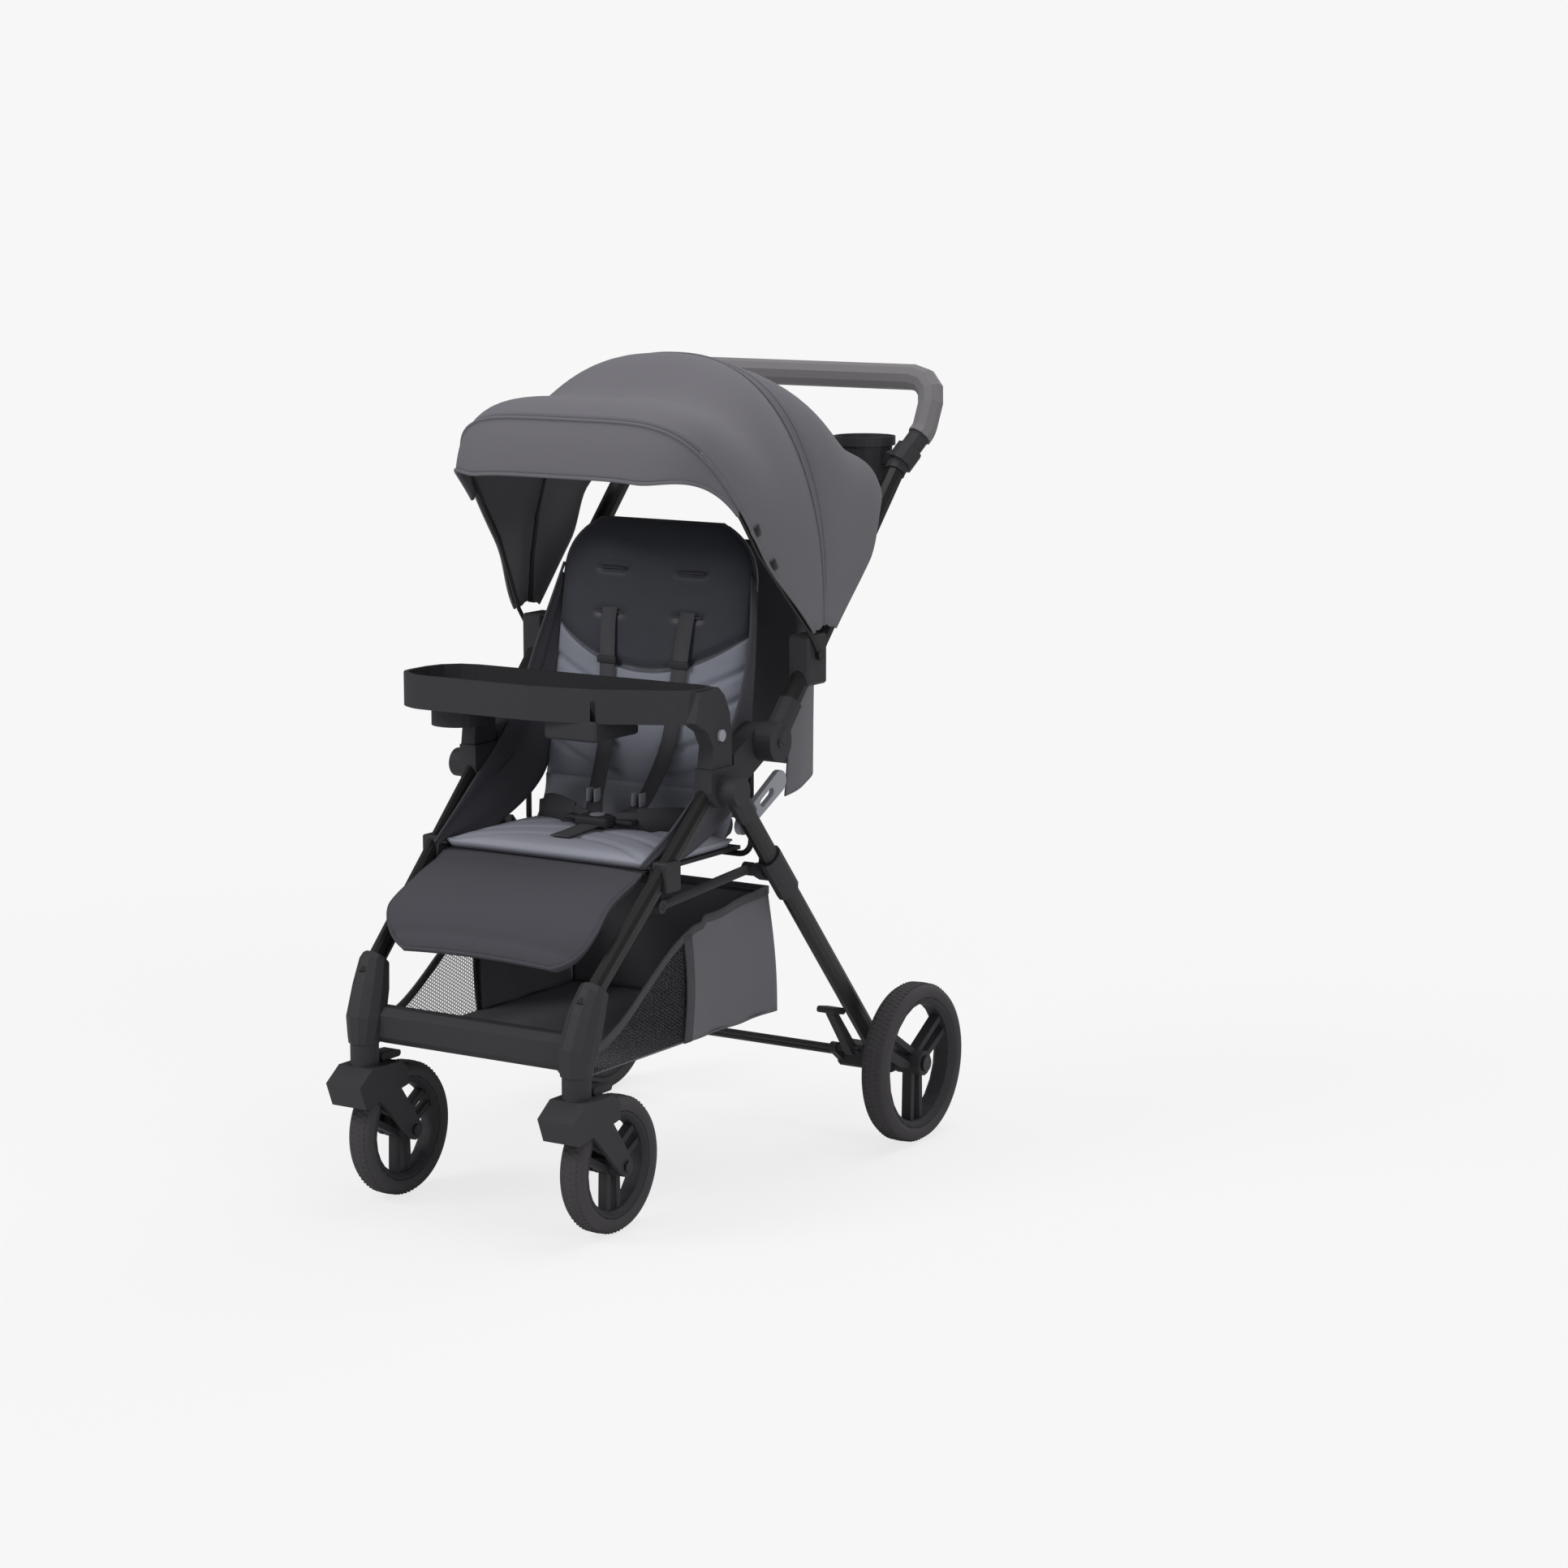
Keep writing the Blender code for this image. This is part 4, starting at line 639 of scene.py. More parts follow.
def merged(name, pieces):
    """Several pieces made into one object with all their finishes."""
    with bpy.context.temp_override(active_object=pieces[0], selected_editable_objects=pieces,
                                   selected_objects=pieces, object=pieces[0]):
        bpy.ops.object.join()
    pieces[0].name = name
    pieces[0].data.name = name
    return pieces[0]


def applied(piece):
    """The piece with its modifiers turned into plain mesh."""
    bpy.context.view_layer.update()
    ready = piece.evaluated_get(bpy.context.evaluated_depsgraph_get())
    mesh = bpy.data.meshes.new_from_object(ready)
    old = piece.data
    piece.modifiers.clear()
    piece.data = mesh
    mesh.name = piece.name
    bpy.data.meshes.remove(old)
    return piece


# Geometry Nodes for what repeats along a path


def repeat_tree():
    """A node group that sets copies of one shape along a curve, turned to follow it."""
    tree = bpy.data.node_groups.new("repeat_along_path", "GeometryNodeTree")
    for name, way, kind in (("Path", "INPUT", "Geometry"), ("Shape", "INPUT", "Object"),
                            ("Pitch", "INPUT", "Float"), ("Finish", "INPUT", "Material"),
                            ("Copies", "OUTPUT", "Geometry")):
        tree.interface.new_socket(name, in_out=way, socket_type=f"NodeSocket{kind}")
    kinds = {"enter": "NodeGroupInput", "curve": "GeometryNodeMeshToCurve",
             "spread": "GeometryNodeCurveToPoints", "shape": "GeometryNodeObjectInfo",
             "copies": "GeometryNodeInstanceOnPoints", "real": "GeometryNodeRealizeInstances",
             "paint": "GeometryNodeSetMaterial", "leave": "NodeGroupOutput"}
    nodes = {key: tree.nodes.new(kind) for key, kind in kinds.items()}
    nodes["spread"].mode = "LENGTH"
    for start, output, end, entry in (
            ("enter", "Path", "curve", 0), ("curve", 0, "spread", "Curve"),
            ("enter", "Pitch", "spread", "Length"), ("enter", "Shape", "shape", 0),
            ("spread", "Points", "copies", "Points"),
            ("spread", "Rotation", "copies", "Rotation"),
            ("shape", "Geometry", "copies", "Instance"), ("copies", 0, "real", 0),
            ("real", 0, "paint", 0), ("enter", "Finish", "paint", "Material"),
            ("paint", 0, "leave", 0)):
        tree.links.new(nodes[start].outputs[output], nodes[end].inputs[entry])
    return tree


def repeated(name, paths, shape, pitch, finish):
    """Copies of a small shape along each path, as one plain mesh."""
    tree = bpy.data.node_groups.get("repeat_along_path") or repeat_tree()
    mesh = bpy.data.meshes.new(name)
    verts, edges = [], []
    for path in paths:
        first = len(verts)
        verts += [tuple(p) for p in path]
        edges += [(first + i, first + i + 1) for i in range(len(path) - 1)]
    mesh.from_pydata(verts, edges, [])
    piece = add_object(name, mesh)
    step = piece.modifiers.new("copies", "NODES")
    step.node_group = tree
    keys = {item.name: item.identifier for item in tree.interface.items_tree
            if item.in_out == "INPUT"}
    step[keys["Shape"]] = shape
    step[keys["Pitch"]] = pitch
    step[keys["Finish"]] = bpy.data.materials[finish]
    applied(piece)
    piece.data.shade_smooth()
    bpy.data.objects.remove(shape, do_unlink=True)
    return piece


def stitch_shape(length, thick=0.0006):
    """One stitch, lying along its own Z."""
    bm = bmesh.new()
    bmesh.ops.create_icosphere(bm, subdivisions=1, radius=1.0)
    bmesh.ops.scale(bm, vec=(thick, thick, length * 0.36), verts=bm.verts)
    return shape_of("stitch", bm)


def tread_bar():
    """One bar of a tyre's tread, lying along its own Z."""
    bm = bmesh.new()
    bmesh.ops.create_cube(bm, size=1.0)
    bmesh.ops.scale(bm, vec=(0.0074, 0.0016, 0.0030), verts=bm.verts)
    bmesh.ops.bevel(bm, geom=bm.edges[:], offset=0.0004, segments=1, affect="EDGES")
    return shape_of("tread_bar", bm)


# Canopy shapes


def arch(angle, reach, phi, power):
    """A point of the canopy: an arch in a plane through the pivot line at one angle.

    The cloth is drawn in at the feet, widest at the rear hoop and narrower at the front one.
    """
    c, s = math.cos(phi), math.sin(phi)
    r = squared(c, s, power)
    rho = reach * r * s
    ahead = min(1.0, max(0.0, (angle - REAR_BOW) / (FRONT_BOW - REAR_BOW)))
    side = TOP_HALF_W + (FRONT_HALF_W - TOP_HALF_W) * ahead
    half_w = FOOT_HALF_W + (side - FOOT_HALF_W) * smooth(rho, *CANOPY_WAIST)
    return place(half_w * r * c, CANOPY_PIVOT[0] + rho * math.cos(angle),
                 CANOPY_PIVOT[1] + rho * math.sin(angle))


def span(u, low):
    """The arch angle for a share across, from the left foot to the right one."""
    turn = low + (math.pi - 2 * low) * u
    return turn + 0.07 * math.sin(4 * turn)


def canopy_point(u, v):
    """The hood from its front hem (v = 0) over the rear hoop to its back hem (v = 1)."""
    if v < HOOP_TURN:
        share = v / HOOP_TURN
        slack = smooth(min(share, 1 - share), HOOP_BAND, 0.5)
        phi = span(u, 0.08)
        ripple = 0.0012 * math.sin(9.0 * phi + 5.0 * share) * slack
        reach = FRONT_ARCH + (TOP_ARCH - FRONT_ARCH) * share - FRONT_SLACK * slack + ripple
        return arch(FRONT_BOW + (REAR_BOW - FRONT_BOW) * share, reach, phi,
                    FRONT_POWER + (TOP_POWER - FRONT_POWER) * share)
    share = (v - HOOP_TURN) / (1 - HOOP_TURN)
    phi = span(u, 0.08 + 0.04 * share)
    edge = REAR_EDGE + REAR_LIFT * smooth(min(phi, math.pi - phi), 0.50, 0.70)
    slack = smooth(min(share, 1 - share), HOOP_BAND, 0.5)
    ripple = 0.0016 * math.sin(7.0 * phi + 6.0 * share) * slack
    sag = 1 - 0.05 * share * hump(u) ** 2
    reach = (TOP_ARCH + (REAR_ARCH - TOP_ARCH) * share) * sag - REAR_SLACK * slack + ripple
    return arch(REAR_BOW + (edge - REAR_BOW) * share, reach, phi,
                TOP_POWER + (EDGE_POWER - TOP_POWER) * share)


def brim_point(u, v):
    """The band ahead of the front hoop, wide over the head and tapering down the sides."""
    phi = span(u, VISOR_END)
    wide = 0.12 + 0.88 * smooth(min(phi, math.pi - phi), VISOR_END, 1.05)
    bulge = 0.0035 * hump(v) * wide
    return arch(FRONT_BOW + VISOR_GAP + VISOR_SWEEP * v * wide,
                FRONT_ARCH + bulge + (VISOR_ARCH - FRONT_ARCH) * v * wide, phi, FRONT_POWER)


class STROLLER_OT_canopy(bpy.types.Operator):
    """The hood over both hoops, its brim, piping and hem tapes"""
    bl_idname = "stroller.canopy"
    bl_label = "Canopy"

    def execute(self, context):
        sewing = context.scene.stroller_sewing
        centre = place(0, *CANOPY_PIVOT)

        def outward(p):
            return p - centre

        hood = sheet("canopy_hood", canopy_point, 96, 60, "canopy_cloth", 0.0022, outward)
        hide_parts("canopy_front_panel", "canopy_rear_panel")
        declare_cloth(canopy_point)
        canopy_point(0.5, HOOP_TURN)
        canopy_point(0.5, 0.0)
        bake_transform(hood)

        brim = sheet("canopy_brim", brim_point, 80, 14, "canopy_cloth", 0.0032, outward)
        carried(brim, "canopy_cloth", "canopy_hoop", "canopy_visor")
        declare_cloth(brim_point)

        radius = sewing.piping
        edges = ((along(brim_point, 0.0, 80), radius), (along(brim_point, 1.0, 80), radius * 1.1),
                 (along(canopy_point, 0.0, 30, 0.0, 0.24), radius),
                 (along(canopy_point, 0.0, 30, 0.76, 1.0), radius))
        piping = [bar("piping", path, thick, "canopy_cloth") for path, thick in edges]
        carried(merged("canopy_piping", piping), "canopy_cloth", "canopy_hoop")

        rows = [[p + (p - centre).normalized() * 0.0003 for p in along(canopy_point, v, 90)]
                for v in (HOOP_TURN - 0.012, HOOP_TURN + 0.016)]
        stitches = repeated("canopy_seam_stitches", rows, stitch_shape(sewing.stitch),
                            sewing.stitch, "thread")
        carried(stitches, "canopy_cloth", "push_frame")
        trim("canopy_seam_ridge", along(canopy_point, HOOP_TURN + 0.002, 90), 0.0019,
             "canopy_cloth", "push_frame")

        tabs = []
        for u, end in ((0.075, 0.054), (0.115, 0.0452)):
            p, q = canopy_point(u, 0.010), canopy_point(u, end)
            travel = (q - p).normalized()
            across = (canopy_point(u + 0.02, 0.02) - canopy_point(u - 0.02, 0.02)).normalized()
            out = travel.cross(across).normalized()
            if out.dot(p - centre) < 0:
                out = -out
            path = [p + out * 0.0014, (p + q) / 2 + out * 0.0026, q + out * 0.0014]
            tabs.append(strap("tab", curve_through(path, 8), 0.014, 0.0012, "black_webbing",
                              across))
        carried(merged("canopy_tabs", tabs), "webbing", "canopy_hoop")
        return {"FINISHED"}


# Seat shapes


def back_place(distance, out=0.0, x=0.0):
    """A point up the seat back, out in front of it."""
    y = BIGHT[0] + distance * math.cos(BACK_SLOPE) - out * math.sin(BACK_SLOPE)
    z = BIGHT[1] + distance * math.sin(BACK_SLOPE) + out * math.cos(BACK_SLOPE)
    return place(x, y, z)


def pad_piece(name, frame_point, half_width, thickness, cells, finish, grooves, plump=2.6):
    """A stuffed pad: crowned face, pinched rim and sewn grooves.

    frame_point(x, v, out) turns a width, a share along and a height into a point of the model.
    """
    nx, ny = cells

    def height(s, v):
        edge = (1 - abs(s) ** plump) * (1 - abs(2 * v - 1) ** (plump * 1.6))
        return thickness * (0.40 + 0.60 * max(0.0, edge) ** 0.42)

    verts, faces = [], []
    for layer in (0, 1):
        for j in range(ny + 1):
            for i in range(nx + 1):
                s, v = 2 * i / nx - 1, j / ny
                x = half_width(v) * s
                if i in (0, nx) or j in (0, ny):
                    out = thickness * (0.45 if layer else 0.35)
                else:
                    out = height(s, v) - grooves(x, v) if layer else 0.0006
                verts.append(frame_point(x, v, out))
    row, page = nx + 1, (nx + 1) * (ny + 1)
    for j in range(ny):
        for i in range(nx):
            a = j * row + i
            faces.append((a, a + row, a + row + 1, a + 1))
            faces.append((page + a, page + a + 1, page + a + row + 1, page + a + row))
    edge = ([(0, i) for i in range(nx)] + [(j, nx) for j in range(ny)]
            + [(ny, i) for i in range(nx, 0, -1)] + [(j, 0) for j in range(ny, 0, -1)])
    for n, (j0, i0) in enumerate(edge):
        j1, i1 = edge[(n + 1) % len(edge)]
        a, b = j0 * row + i0, j1 * row + i1
        faces.append((a, b, page + b, page + a))
    return new_piece(name, verts, faces, finish, weld=False)


def rim_path(frame_point, half_width, out, count, low=0.0, high=1.0):
    """The edge line of a pad, from one low corner round the top to the other."""
    spread = [low + (high - low) * j / count for j in range(count + 1)]
    up = [frame_point(half_width(v), v, out) for v in spread]
    over = [frame_point(half_width(high) * (1 - 2 * i / 30), high, out) for i in range(1, 30)]
    down = [frame_point(-half_width(v), v, out) for v in reversed(spread)]
    return up + over + down


class STROLLER_OT_seat(bpy.types.Operator):
    """Seat back, cushion, leg rest and the cloth sides that join them"""
    bl_idname = "stroller.seat"
    bl_label = "Seat"

    def execute(self, context):
        sewing = context.scene.stroller_sewing
        self.seat_back(sewing)
        self.cushion(sewing)
        self.leg_rest(sewing)
        for side, sign in SIDES:
            self.side_wing(side, sign)
        self.rear_pocket()
        return {"FINISHED"}

    def seat_back(self, sewing):
        def half_width(v):
            corner = max(0.0, v - 0.78) / 0.22
            return 0.158 * (1 - 0.05 * v) * math.sqrt(max(0.06, 1 - 0.62 * corner ** 2.6))

        def at(x, v, out):
            return back_place(BACK_START + BACK_LENGTH * v, out, x)

        def grooves(x, v):
            z = at(x, v, 0).z
            border = z - SEAM_CURVE * x * x - SEAM_HEIGHT
            total = 0.9 * dip(border, 0.0040)
            if border < 0:
                for n in range(1, sewing.channels + 1):
                    line = z - (SEAM_HEIGHT - CHANNEL_PITCH * n) - CHANNEL_CURVE * x * x
                    total += dip(line, 0.0045) * smooth(abs(x), 0.020, 0.045)
            else:
                near = 1 - smooth(abs(abs(x) - SLOT_X), 0.016, 0.030)
                total += sum(0.6 * dip(z - row, 0.0045) * near for row in SLOT_ROWS)
            return sewing.channel_depth * total

        pad = pad_piece("seat_back_pad_cover", at, half_width, 0.034, (84, 110), "seat_back_cloth",
                        grooves)
        carried(pad, "seat_satin", "seat_back", "seat_back_pad")
        trim("seat_back_piping", rim_path(at, half_width, 0.0136, 50, 0.0, 0.995), sewing.piping,
             "seat_satin", "seat_back")

        slots = []
        foot, head = at(0, 0, 0).z, at(0, 1, 0).z
        for row in SLOT_ROWS:
            for x in (-SLOT_X, SLOT_X):
                v = (row - foot) / (head - foot)
                path = [at(x + dx, v, 0.0312) for dx in (-0.021, -0.01, 0, 0.01, 0.021)]
                slots.append(bar("slot", path, 0.0016, "seat_satin", squash=0.9))
        carried(merged("harness_slots", slots), "seat_satin", "seat_back")

    def cushion(self, sewing):
        def half_width(_):
            return CUSHION_HALF_W

        def at(x, v, out):
            return place(x, CUSHION_FRONT + (CUSHION_REAR - CUSHION_FRONT) * v,
                         CUSHION_FLOOR + out)

        def grooves(x, v):
            curve = 0.28 * (x / 0.157) ** 2
            lines = [(1 - v) - (0.24 + 0.25 * n) - curve for n in (0, 1, 2)]
            return 0.5 * sewing.channel_depth * sum(dip(line, 0.028) for line in lines)

        def bight(u, v):
            low, high = place(0, 0.286, CUSHION_FLOOR + 0.012), back_place(0.050, 0.030)
            p = low.lerp(high, v) - Vector((0, -0.007 * hump(v), 0.004 * v))
            return p + Vector((0.150 * (2 * u - 1), 0, 0))

        pad = pad_piece("seat_cushion_cover", at, half_width, 0.0235, (72, 50), "seat_light",
                        grooves)
        carried(pad, "seat_light", "chassis", "seat_cushion")
        filling = sheet("seat_bight_cloth", bight, 24, 8, "seat_light", 0.002,
                        lambda p: Vector((0, -1, 1)))
        declare_cloth(bight)
        carried(filling, "seat_light", "harness_base")
        trim("seat_cushion_piping", rim_path(at, half_width, 0.010, 40), sewing.piping * 0.8,
             "seat_light", "chassis")

    def leg_rest(self, sewing):
        front, rear = LEG_REST_FRONT, LEG_REST_REAR
        slope = math.atan2(rear[1] - front[1], rear[0] - front[0])
        length = math.dist(front, rear)

        def half_width(v):
            share = 1 - v
            corner = max(0.0, share - 0.66) / 0.34
            widen = 0.985 + 0.045 * smooth(share, 0.40, 0.75)
            return 0.157 * widen * math.sqrt(max(0.05, 1 - 0.50 * corner ** 2.4))

        def at(x, v, out):
            d = length * v
            droop = -0.010 * (1 - v) ** 2 * (x / 0.16) ** 2
            curl = 0.010 * hump(min(1.0, v * 1.15))
            lip = 0.016 * (1 - smooth(v, 0.0, 0.30))
            out = out - 0.011 + droop + (curl - lip)
            y = front[0] + d * math.cos(slope) - out * math.sin(slope)
            z = front[1] + d * math.sin(slope) + out * math.cos(slope)
            return place(x, y, z)

        def grooves(x, v):
            pucker = 0.0016 * (0.5 + 0.5 * math.sin(x * 260)) * dip(v - 0.05, 0.07)
            return pucker + 0.0025 * dip(v - 0.10, 0.018)

        pad = pad_piece("leg_rest_cover", at, half_width, 0.0225, (110, 50), "seat_satin", grooves,
                        plump=3.2)
        carried(pad, "seat_satin", "chassis", "leg_rest")
        path = rim_path(lambda x, v, out: at(x, 1 - v, out), lambda v: half_width(1 - v), 0.010,
                        50, 0.02, 1.0)
        trim("leg_rest_piping", path, sewing.piping, "seat_satin", "chassis")

    def side_wing(self, side, sign):
        """A satin side from the seat back's edge down to the front of the seat."""
        top = curve_through([back_place(0.330, 0.020, sign * 0.150),
                             *(place(sign * x, y, z) for x, y, z in WING_TOP)], 48)
        low = curve_through([*(back_place(up, out, sign * x) for up, out, x in WING_BACK),
                             *(place(sign * x, y, z) for x, y, z in WING_SEAT)], 48)
        count = len(top) - 1

        def wing(u, v):
            k = min(count, int(round(u * count)))
            fold = 0.0035 * math.sin(v * 9.0 + u * 7.0) * hump(v)
            bow = fold + 0.006 * hump(v)
            return top[k].lerp(low[k], v) + Vector((sign * bow, 0, 0))

        piece = sheet(f"seat_wing_{side}", wing, count, 14, "seat_satin", 0.002,
                      lambda p: Vector((sign, 0, 0)))
        declare_cloth(wing)
        for part in (piece, bar(f"seat_wing_hem_{side}", top, 0.0020, "seat_satin")):
            back_place(0.02)
            back_place(0.20)
            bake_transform(part)

    def rear_pocket(self):
        def shell(u, v):
            bulge = 0.086 - 0.050 * v
            turn = math.pi * u
            c, s = math.cos(turn), math.sin(turn)
            r = squared(c, s, 5)
            y = 0.380 + 0.040 * v + (bulge + 0.030) * r * s
            fold = 0.0022 * math.sin(u * 26) * (1 - v)
            return place((0.186 + fold) * r * c, y + fold, 0.500 + 0.022 * r * s + 0.300 * v)

        pocket = sheet("seat_shell_cover", shell, 90, 36, "canopy_cloth", 0.0024,
                       lambda p: p - place(0, 0.36, p.z))
        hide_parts("seat_shell")
        back_place(0.02)
        back_place(0.10)
        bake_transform(pocket)
        declare_cloth(shell)


class STROLLER_OT_harness(bpy.types.Operator):
    """Shoulder straps, lap belt, crotch strap and buckle"""
    bl_idname = "stroller.harness"
    bl_label = "Harness"

    def execute(self, context):
        def at(x, y, z):
            """A point given from the buckle's place on the cushion."""
            return place(x, BUCKLE_Y + y, CUSHION_TOP + z)

        straps = []
        for sign in (1, -1):
            path = [*(back_place(up, out, sign * x) for up, out, x in (
                (0.275, 0.0325, 0.062), (0.250, 0.0362, 0.061), (0.18, 0.0375, 0.056),
                (0.10, 0.0400, 0.050))),
                    at(sign * 0.038, 0.050, 0.030), at(sign * 0.020, 0.020, 0.0095)]
            straps.append(strap("strap", curve_through(path, 60), 0.024, 0.0016, "webbing"))
            for middle, half, round_by in (
                    (back_place(0.150, 0.0395, sign * 0.054), (0.0155, 0.0022, 0.009), 0.0018),
                    (back_place(0.205, 0.0385, sign * 0.058), (0.0150, 0.0020, 0.005), 0.0016)):
                straps.append(block("slide", middle - Vector(half), middle + Vector(half),
                                    "black_plastic", round_by))
            hook = at(sign * 0.036, 0.046, 0.033)
            for dx in (-0.006, 0.006):
                straps.append(block("hook", hook + Vector((dx - 0.0012, -0.010, -0.008)),
                                    hook + Vector((dx + 0.0012, 0.004, 0.010)), "latch_grey",
                                    0.0008))
        shoulder = merged("shoulder_harness", straps)
        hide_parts("shoulder_straps")
        back_place(0.02, 0.06)
        back_place(0.12, 0.03)
        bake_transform(shoulder)

        parts = []
        upright = Vector((0, 0.2, 1))
        for sign in (1, -1):
            belt = curve_through([at(sign * x, y, z) for x, y, z in (
                (0.020, 0.004, 0.0085), (0.060, 0.022, 0.0105), (0.105, 0.045, 0.012),
                (0.138, 0.062, 0.004))], 30)
            parts.append(strap("lap", belt, 0.0235, 0.0016, "webbing", upright))
            parts.append(strap("lap_pad", belt[8:26], 0.034, 0.0045, "webbing", upright))
        crotch = curve_through([at(0, y, z) for y, z in (
            (-0.010, 0.006), (-0.035, 0.0045), (-0.062, 0.0025), (-0.084, 0.0015))], 18)
        parts.append(strap("crotch", crotch, 0.030, 0.0018, "webbing"))
        parts.append(block("buckle", at(-0.026, -0.018, 0.0022), at(0.026, 0.018, 0.0168),
                           "black_plastic", 0.005, 4))
        for sign in (1, -1):
            for name, x, half, low, high in (
                    ("tongue", 0.040, 0.014, (0.000, 0.006), (0.022, 0.0125)),
                    ("clip", 0.026, 0.010, (0.016, 0.008), (0.034, 0.0135))):
                parts.append(block(name, at(sign * x - half, *low), at(sign * x + half, *high),
                                   "black_plastic", 0.0025, 3))
        carried(merged("buckle_and_belts", parts), "black_plastic", "harness_base",
                "harness_buckle")
        return {"FINISHED"}


def basket_edge(y):
    """The height of the basket side's top edge at a length."""
    if y > 0.215:
        return 0.362 + 0.012 * smooth(y, 0.215, 0.372)
    return 0.238 + 0.116 * smooth(y, -0.03, 0.215) ** 0.9


class STROLLER_OT_basket(bpy.types.Operator):
    """The cargo basket: cloth rear, net front and webbing bindings"""
    bl_idname = "stroller.basket"
    bl_label = "Basket"

    def execute(self, context):
        half, floor = BASKET_HALF_W - 0.003, BASKET_FLOOR
        pieces = []

        def panel(name, point, cells, outward, finish="canopy_cloth", wall=0.0018):
            pieces.append(applied(sheet(name, point, *cells, finish, wall,
                                        lambda p: Vector(outward))))

        def binding(name, path, width, thick, across=Vector((0, 0, 1))):
            pieces.append(strap(name, path, width, thick, "webbing", across))

        def side(sign):
            def cloth(u, v):
                y = NET_END + (BASKET_REAR - NET_END) * u
                z = floor + (basket_edge(y) - floor) * v
                y -= 0.018 * v * smooth(u, 0.6, 1.0)
                bow = 0.0035 * hump(v) + 0.0018 * math.sin(u * 14 + v * 3)
                return place(sign * (half + bow), y, z)

            def netting(u, v):
                y = BASKET_FRONT + (NET_END - BASKET_FRONT) * u
                bow = 0.002 * hump(v)
                return place(sign * (half + bow), y, floor + (basket_edge(y) - floor) * v)

            panel("side", cloth, (40, 20), (sign, 0, 0))
            panel("mesh_side", netting, (30, 12), (sign, 0, 0), "basket_net", 0.0010)
            edge = along(netting, 1.0, 40) + along(cloth, 1.0, 30)[1:]
            binding("binding", [p + Vector((sign * 0.0004, 0, 0)) for p in edge], 0.011, 0.0034)
            post = [cloth(0.0, i / 12) + Vector((sign * 0.0008, 0, 0)) for i in range(13)]
            binding("strip", post, 0.017, 0.0030, Vector((0, 1, 0)))

        def back(u, v):
            bow = 0.004 * hump(u) * hump(v)
            return place(half * (2 * u - 1), BASKET_REAR - 0.018 * v + bow - 0.002,
                         floor + (basket_edge(BASKET_REAR) - floor) * v)

        def bottom(u, v):
            return place((half + 0.0005) * (2 * u - 1),
                         BASKET_FRONT + (BASKET_REAR - BASKET_FRONT - 0.001) * v, floor + 0.0008)

        def front(u, v):
            return place(half * (2 * u - 1), BASKET_FRONT + 0.0005, floor + 0.030 * v)

        for _, sign in SIDES:
            side(sign)
        panel("back", back, (40, 16), (0, 1, 0))
        panel("bottom", bottom, (30, 36), (0, 0, -1))
        panel("front", front, (30, 4), (0, -1, 0))
        binding("rear_binding", along(back, 1.0, 30), 0.012, 0.0034)
        cloth = merged("basket_cloth", pieces)
        carried(cloth, "canopy_cloth", "chassis", "basket")
        tuple(place(0, 0, 0.24))
        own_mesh(cloth)
        return {"FINISHED"}


class STROLLER_OT_wheels(bpy.types.Operator):
    """Tyres with their tread bars"""
    bl_idname = "stroller.wheels"
    bl_label = "Wheels"

    def execute(self, context):
        pitch = context.scene.stroller_hardware.tread_pitch
        for side, sign in SIDES:
            for end, (track, length, radius, width) in WHEELS.items():
                self.tyre(end, side, place(sign * track, length, radius), radius, width / 2, pitch)
        return {"FINISHED"}

    def tyre(self, end, side, centre, radius, half, pitch):
        """A tyre with three rows of bars, the middle row set half a step on."""
        name, inner = f"{end}_tyre_band_{side}", radius - 0.020
        flank = [(0.80 * half, inner), (0.97 * half, inner + 0.004), (half, inner + 0.009)]
        crown = [(0.94 * half * math.cos(turn), radius - 0.0085 + 0.0077 * math.sin(turn) ** 0.8)
                 for turn in (math.pi * (i / 8) for i in range(9))]
        section = flank + crown + [(-dx, r) for dx, r in reversed(flank)]
        pieces = [ring_about_x(name, section, centre, 128, "tyre")]
        step = 2 * math.pi * radius / int(2 * math.pi * radius / pitch)
        for offset, shift in ((-0.42, 0.0), (0.0, 0.5), (0.42, 0.0)):
            reach = radius - 0.0012 - abs(offset) * 0.0012
            turns = [2 * math.pi * (i + shift) / 96 for i in range(97)]
            ring = [centre + Vector((offset * half, reach * math.cos(turn),
                                     reach * math.sin(turn))) for turn in turns]
            pieces.append(repeated("tread", [ring], tread_bar(), step, "tyre"))
        carried(merged(name, pieces), "tyre", f"{end}_wheel_{side}", f"{end}_tyre_{side}")


class STROLLER_OT_finishes(bpy.types.Operator):
    """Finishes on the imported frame's own nodes"""
    bl_idname = "stroller.finishes"
    bl_label = "Frame finishes"

    def execute(self, context):
        slots = {part["node"]: part["material_slot"] for part in frame["record"]["subparts"]}
        for name, node in frame["nodes"].items():
            node.data.materials.clear()
            node.data.materials.append(bpy.data.materials[slots[name]])
        return {"FINISHED"}


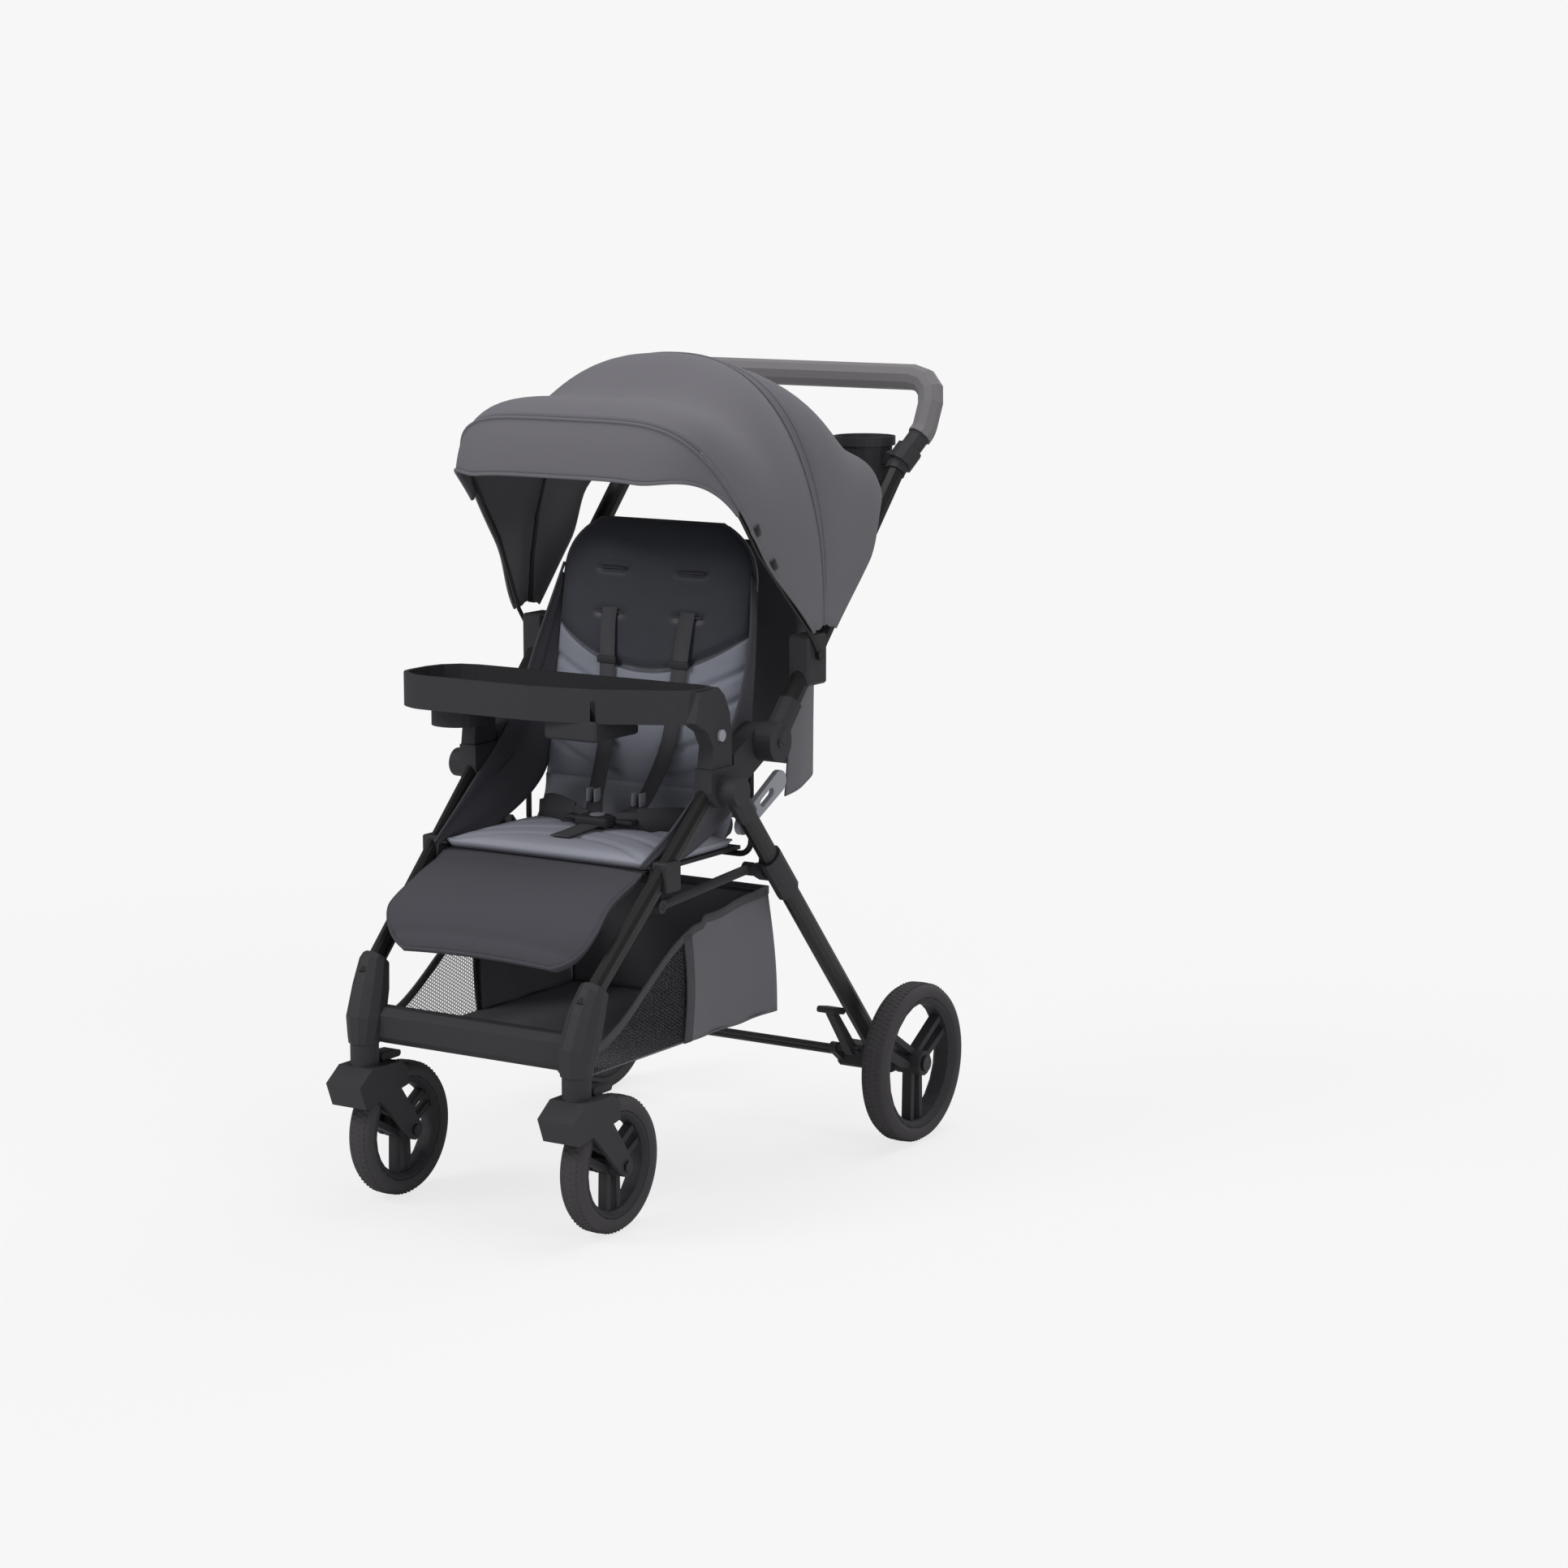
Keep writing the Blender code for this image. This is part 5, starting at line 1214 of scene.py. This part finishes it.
class STROLLER_OT_materials(bpy.types.Operator):
    """Cloth, foam, plastic, paint and rubber"""
    bl_idname = "stroller.materials"
    bl_label = "Materials"

    def execute(self, context):
        cloth, hardware = context.scene.stroller_cloth, context.scene.stroller_hardware
        woven("canopy_cloth", tuple(cloth.canopy), cloth.thread)
        woven("seat_light", tuple(cloth.light), cloth.thread, 0.78, 0.22, 0.30, 0.10)
        satin("seat_satin", tuple(cloth.satin))
        seat_back_cloth("seat_back_cloth", tuple(cloth.satin), tuple(cloth.light))
        webbing_cloth("webbing", tuple(cloth.webbing))
        webbing_cloth("black_webbing", shade(tuple(cloth.webbing), 0.30))
        net("basket_net", tuple(cloth.webbing))
        moulded("thread", shade(tuple(cloth.canopy), 0.8), 0.7, 900.0, 0.0)
        moulded("black_plastic", tuple(hardware.plastic))
        moulded("latch_grey", tuple(hardware.latch), 0.48)
        painted("black_tube", tuple(hardware.tube))
        rubber("tyre", tuple(hardware.tyre))
        foam("grip_foam", tuple(hardware.grip))
        return {"FINISHED"}


class STROLLER_OT_stage(bpy.types.Operator):
    """Pale floor, soft studio light and the camera"""
    bl_idname = "stroller.stage"
    bl_label = "Stage"

    def execute(self, context):
        stage = context.scene.stroller_stage
        s = Shader("stage_floor")
        seen = Num(s, s.node("ShaderNodeLightPath").outputs["Is Camera Ray"])
        x, y, _ = s.axes()
        away = (x * x + y * y) ** 0.5
        plain = s.node("ShaderNodeEmission", values=[(0.93, 0.93, 0.93, 1.0), 1.0])
        blend = s.mix_shader(seen * (away.step(0.7, 2.4) * 0.18 + 0.82), s.surface.outputs[0],
                             plain.outputs[0])
        s.feed(s.tree.nodes["Material Output"].inputs[0], blend)
        s.finish(tuple(stage.floor), 0.9, 0.1)
        mesh = bpy.data.meshes.new("floor")
        mesh.from_pydata([(-8, -8, 0), (8, -8, 0), (8, 8, 0), (-8, 8, 0)], [], [(0, 1, 2, 3)])
        mesh.materials.append(s.owner)
        add_object("floor", mesh)

        world = bpy.data.worlds.new("studio")
        context.scene.world = world
        s = Shader("studio", world)
        rays = s.node("ShaderNodeLightPath").outputs

        def glow(level, strength):
            return s.node("ShaderNodeBackground",
                          values=[(level, level, level, 1), strength]).outputs[0]

        light = s.mix_shader(rays["Is Glossy Ray"], glow(1, 0.34), glow(1, 0.14))
        direct = Num(s, rays["Is Camera Ray"]).most(Num(s, rays["Is Transmission Ray"]))
        s.feed(s.tree.nodes["World Output"].inputs[0], s.mix_shader(direct, light, glow(0.93, 1)))

        def aimed(thing, spot, target):
            thing.location = spot
            way = Vector(target) - Vector(spot)
            thing.rotation_euler = way.to_track_quat("-Z", "Y").to_euler()

        for name, spot, size, power in (("key_light", (-2.2, -3.4, 3.6), 2.0, 118),
                                        ("fill_light", (3.6, -2.0, 2.2), 2.2, 46),
                                        ("top_light", (0.4, 0.6, 4.2), 2.4, 74),
                                        ("rim_light", (0.5, 3.6, 2.6), 2.0, 44)):
            lamp = bpy.data.lights.new(name, "AREA")
            lamp.energy, lamp.size = power, size
            aimed(add_object(name, lamp), spot, (0, 0, 0.5))

        lens = bpy.data.cameras.new("camera")
        lens.lens, lens.sensor_width, lens.clip_end = stage.lens, 36.0, 60.0
        camera = add_object("camera", lens)
        aimed(camera, (2.7883, -4.0143, 1.3473), (0.1599, 0.1225, 0.5086))
        context.scene.camera = camera
        context.scene.view_settings.view_transform = "Standard"
        return {"FINISHED"}


class STROLLER_PT_builder(bpy.types.Panel):
    """Lists the stroller's pieces"""
    bl_label = "Stroller"
    bl_idname = "STROLLER_PT_builder"
    bl_space_type = "VIEW_3D"
    bl_region_type = "UI"
    bl_category = "Stroller"

    def draw(self, context):
        column = self.layout.column()
        for kind in PIECES:
            column.operator(kind.bl_idname)
        for group in ("cloth", "hardware", "sewing", "stage"):
            settings = getattr(context.scene, f"stroller_{group}")
            box = self.layout.box()
            for key in settings.__annotations__:
                box.prop(settings, key)


GROUPS = {"cloth": StrollerCloth, "hardware": StrollerHardware, "sewing": StrollerSewing,
          "stage": StrollerStage}
PIECES = (STROLLER_OT_materials, STROLLER_OT_finishes, STROLLER_OT_canopy, STROLLER_OT_seat,
          STROLLER_OT_harness, STROLLER_OT_basket, STROLLER_OT_wheels, STROLLER_OT_stage)


def register():
    for kind in (*GROUPS.values(), *PIECES, STROLLER_PT_builder):
        bpy.utils.register_class(kind)
    for key, kind in GROUPS.items():
        setattr(bpy.types.Scene, f"stroller_{key}", PointerProperty(type=kind))


def unregister():
    for key in GROUPS:
        delattr(bpy.types.Scene, f"stroller_{key}")
    for kind in (STROLLER_PT_builder, *reversed(PIECES), *GROUPS.values()):
        bpy.utils.unregister_class(kind)


def main():
    register()
    for kind in PIECES:
        group, name = kind.bl_idname.split(".")
        getattr(getattr(bpy.ops, group), name)()


if __name__ == "__main__":
    main()
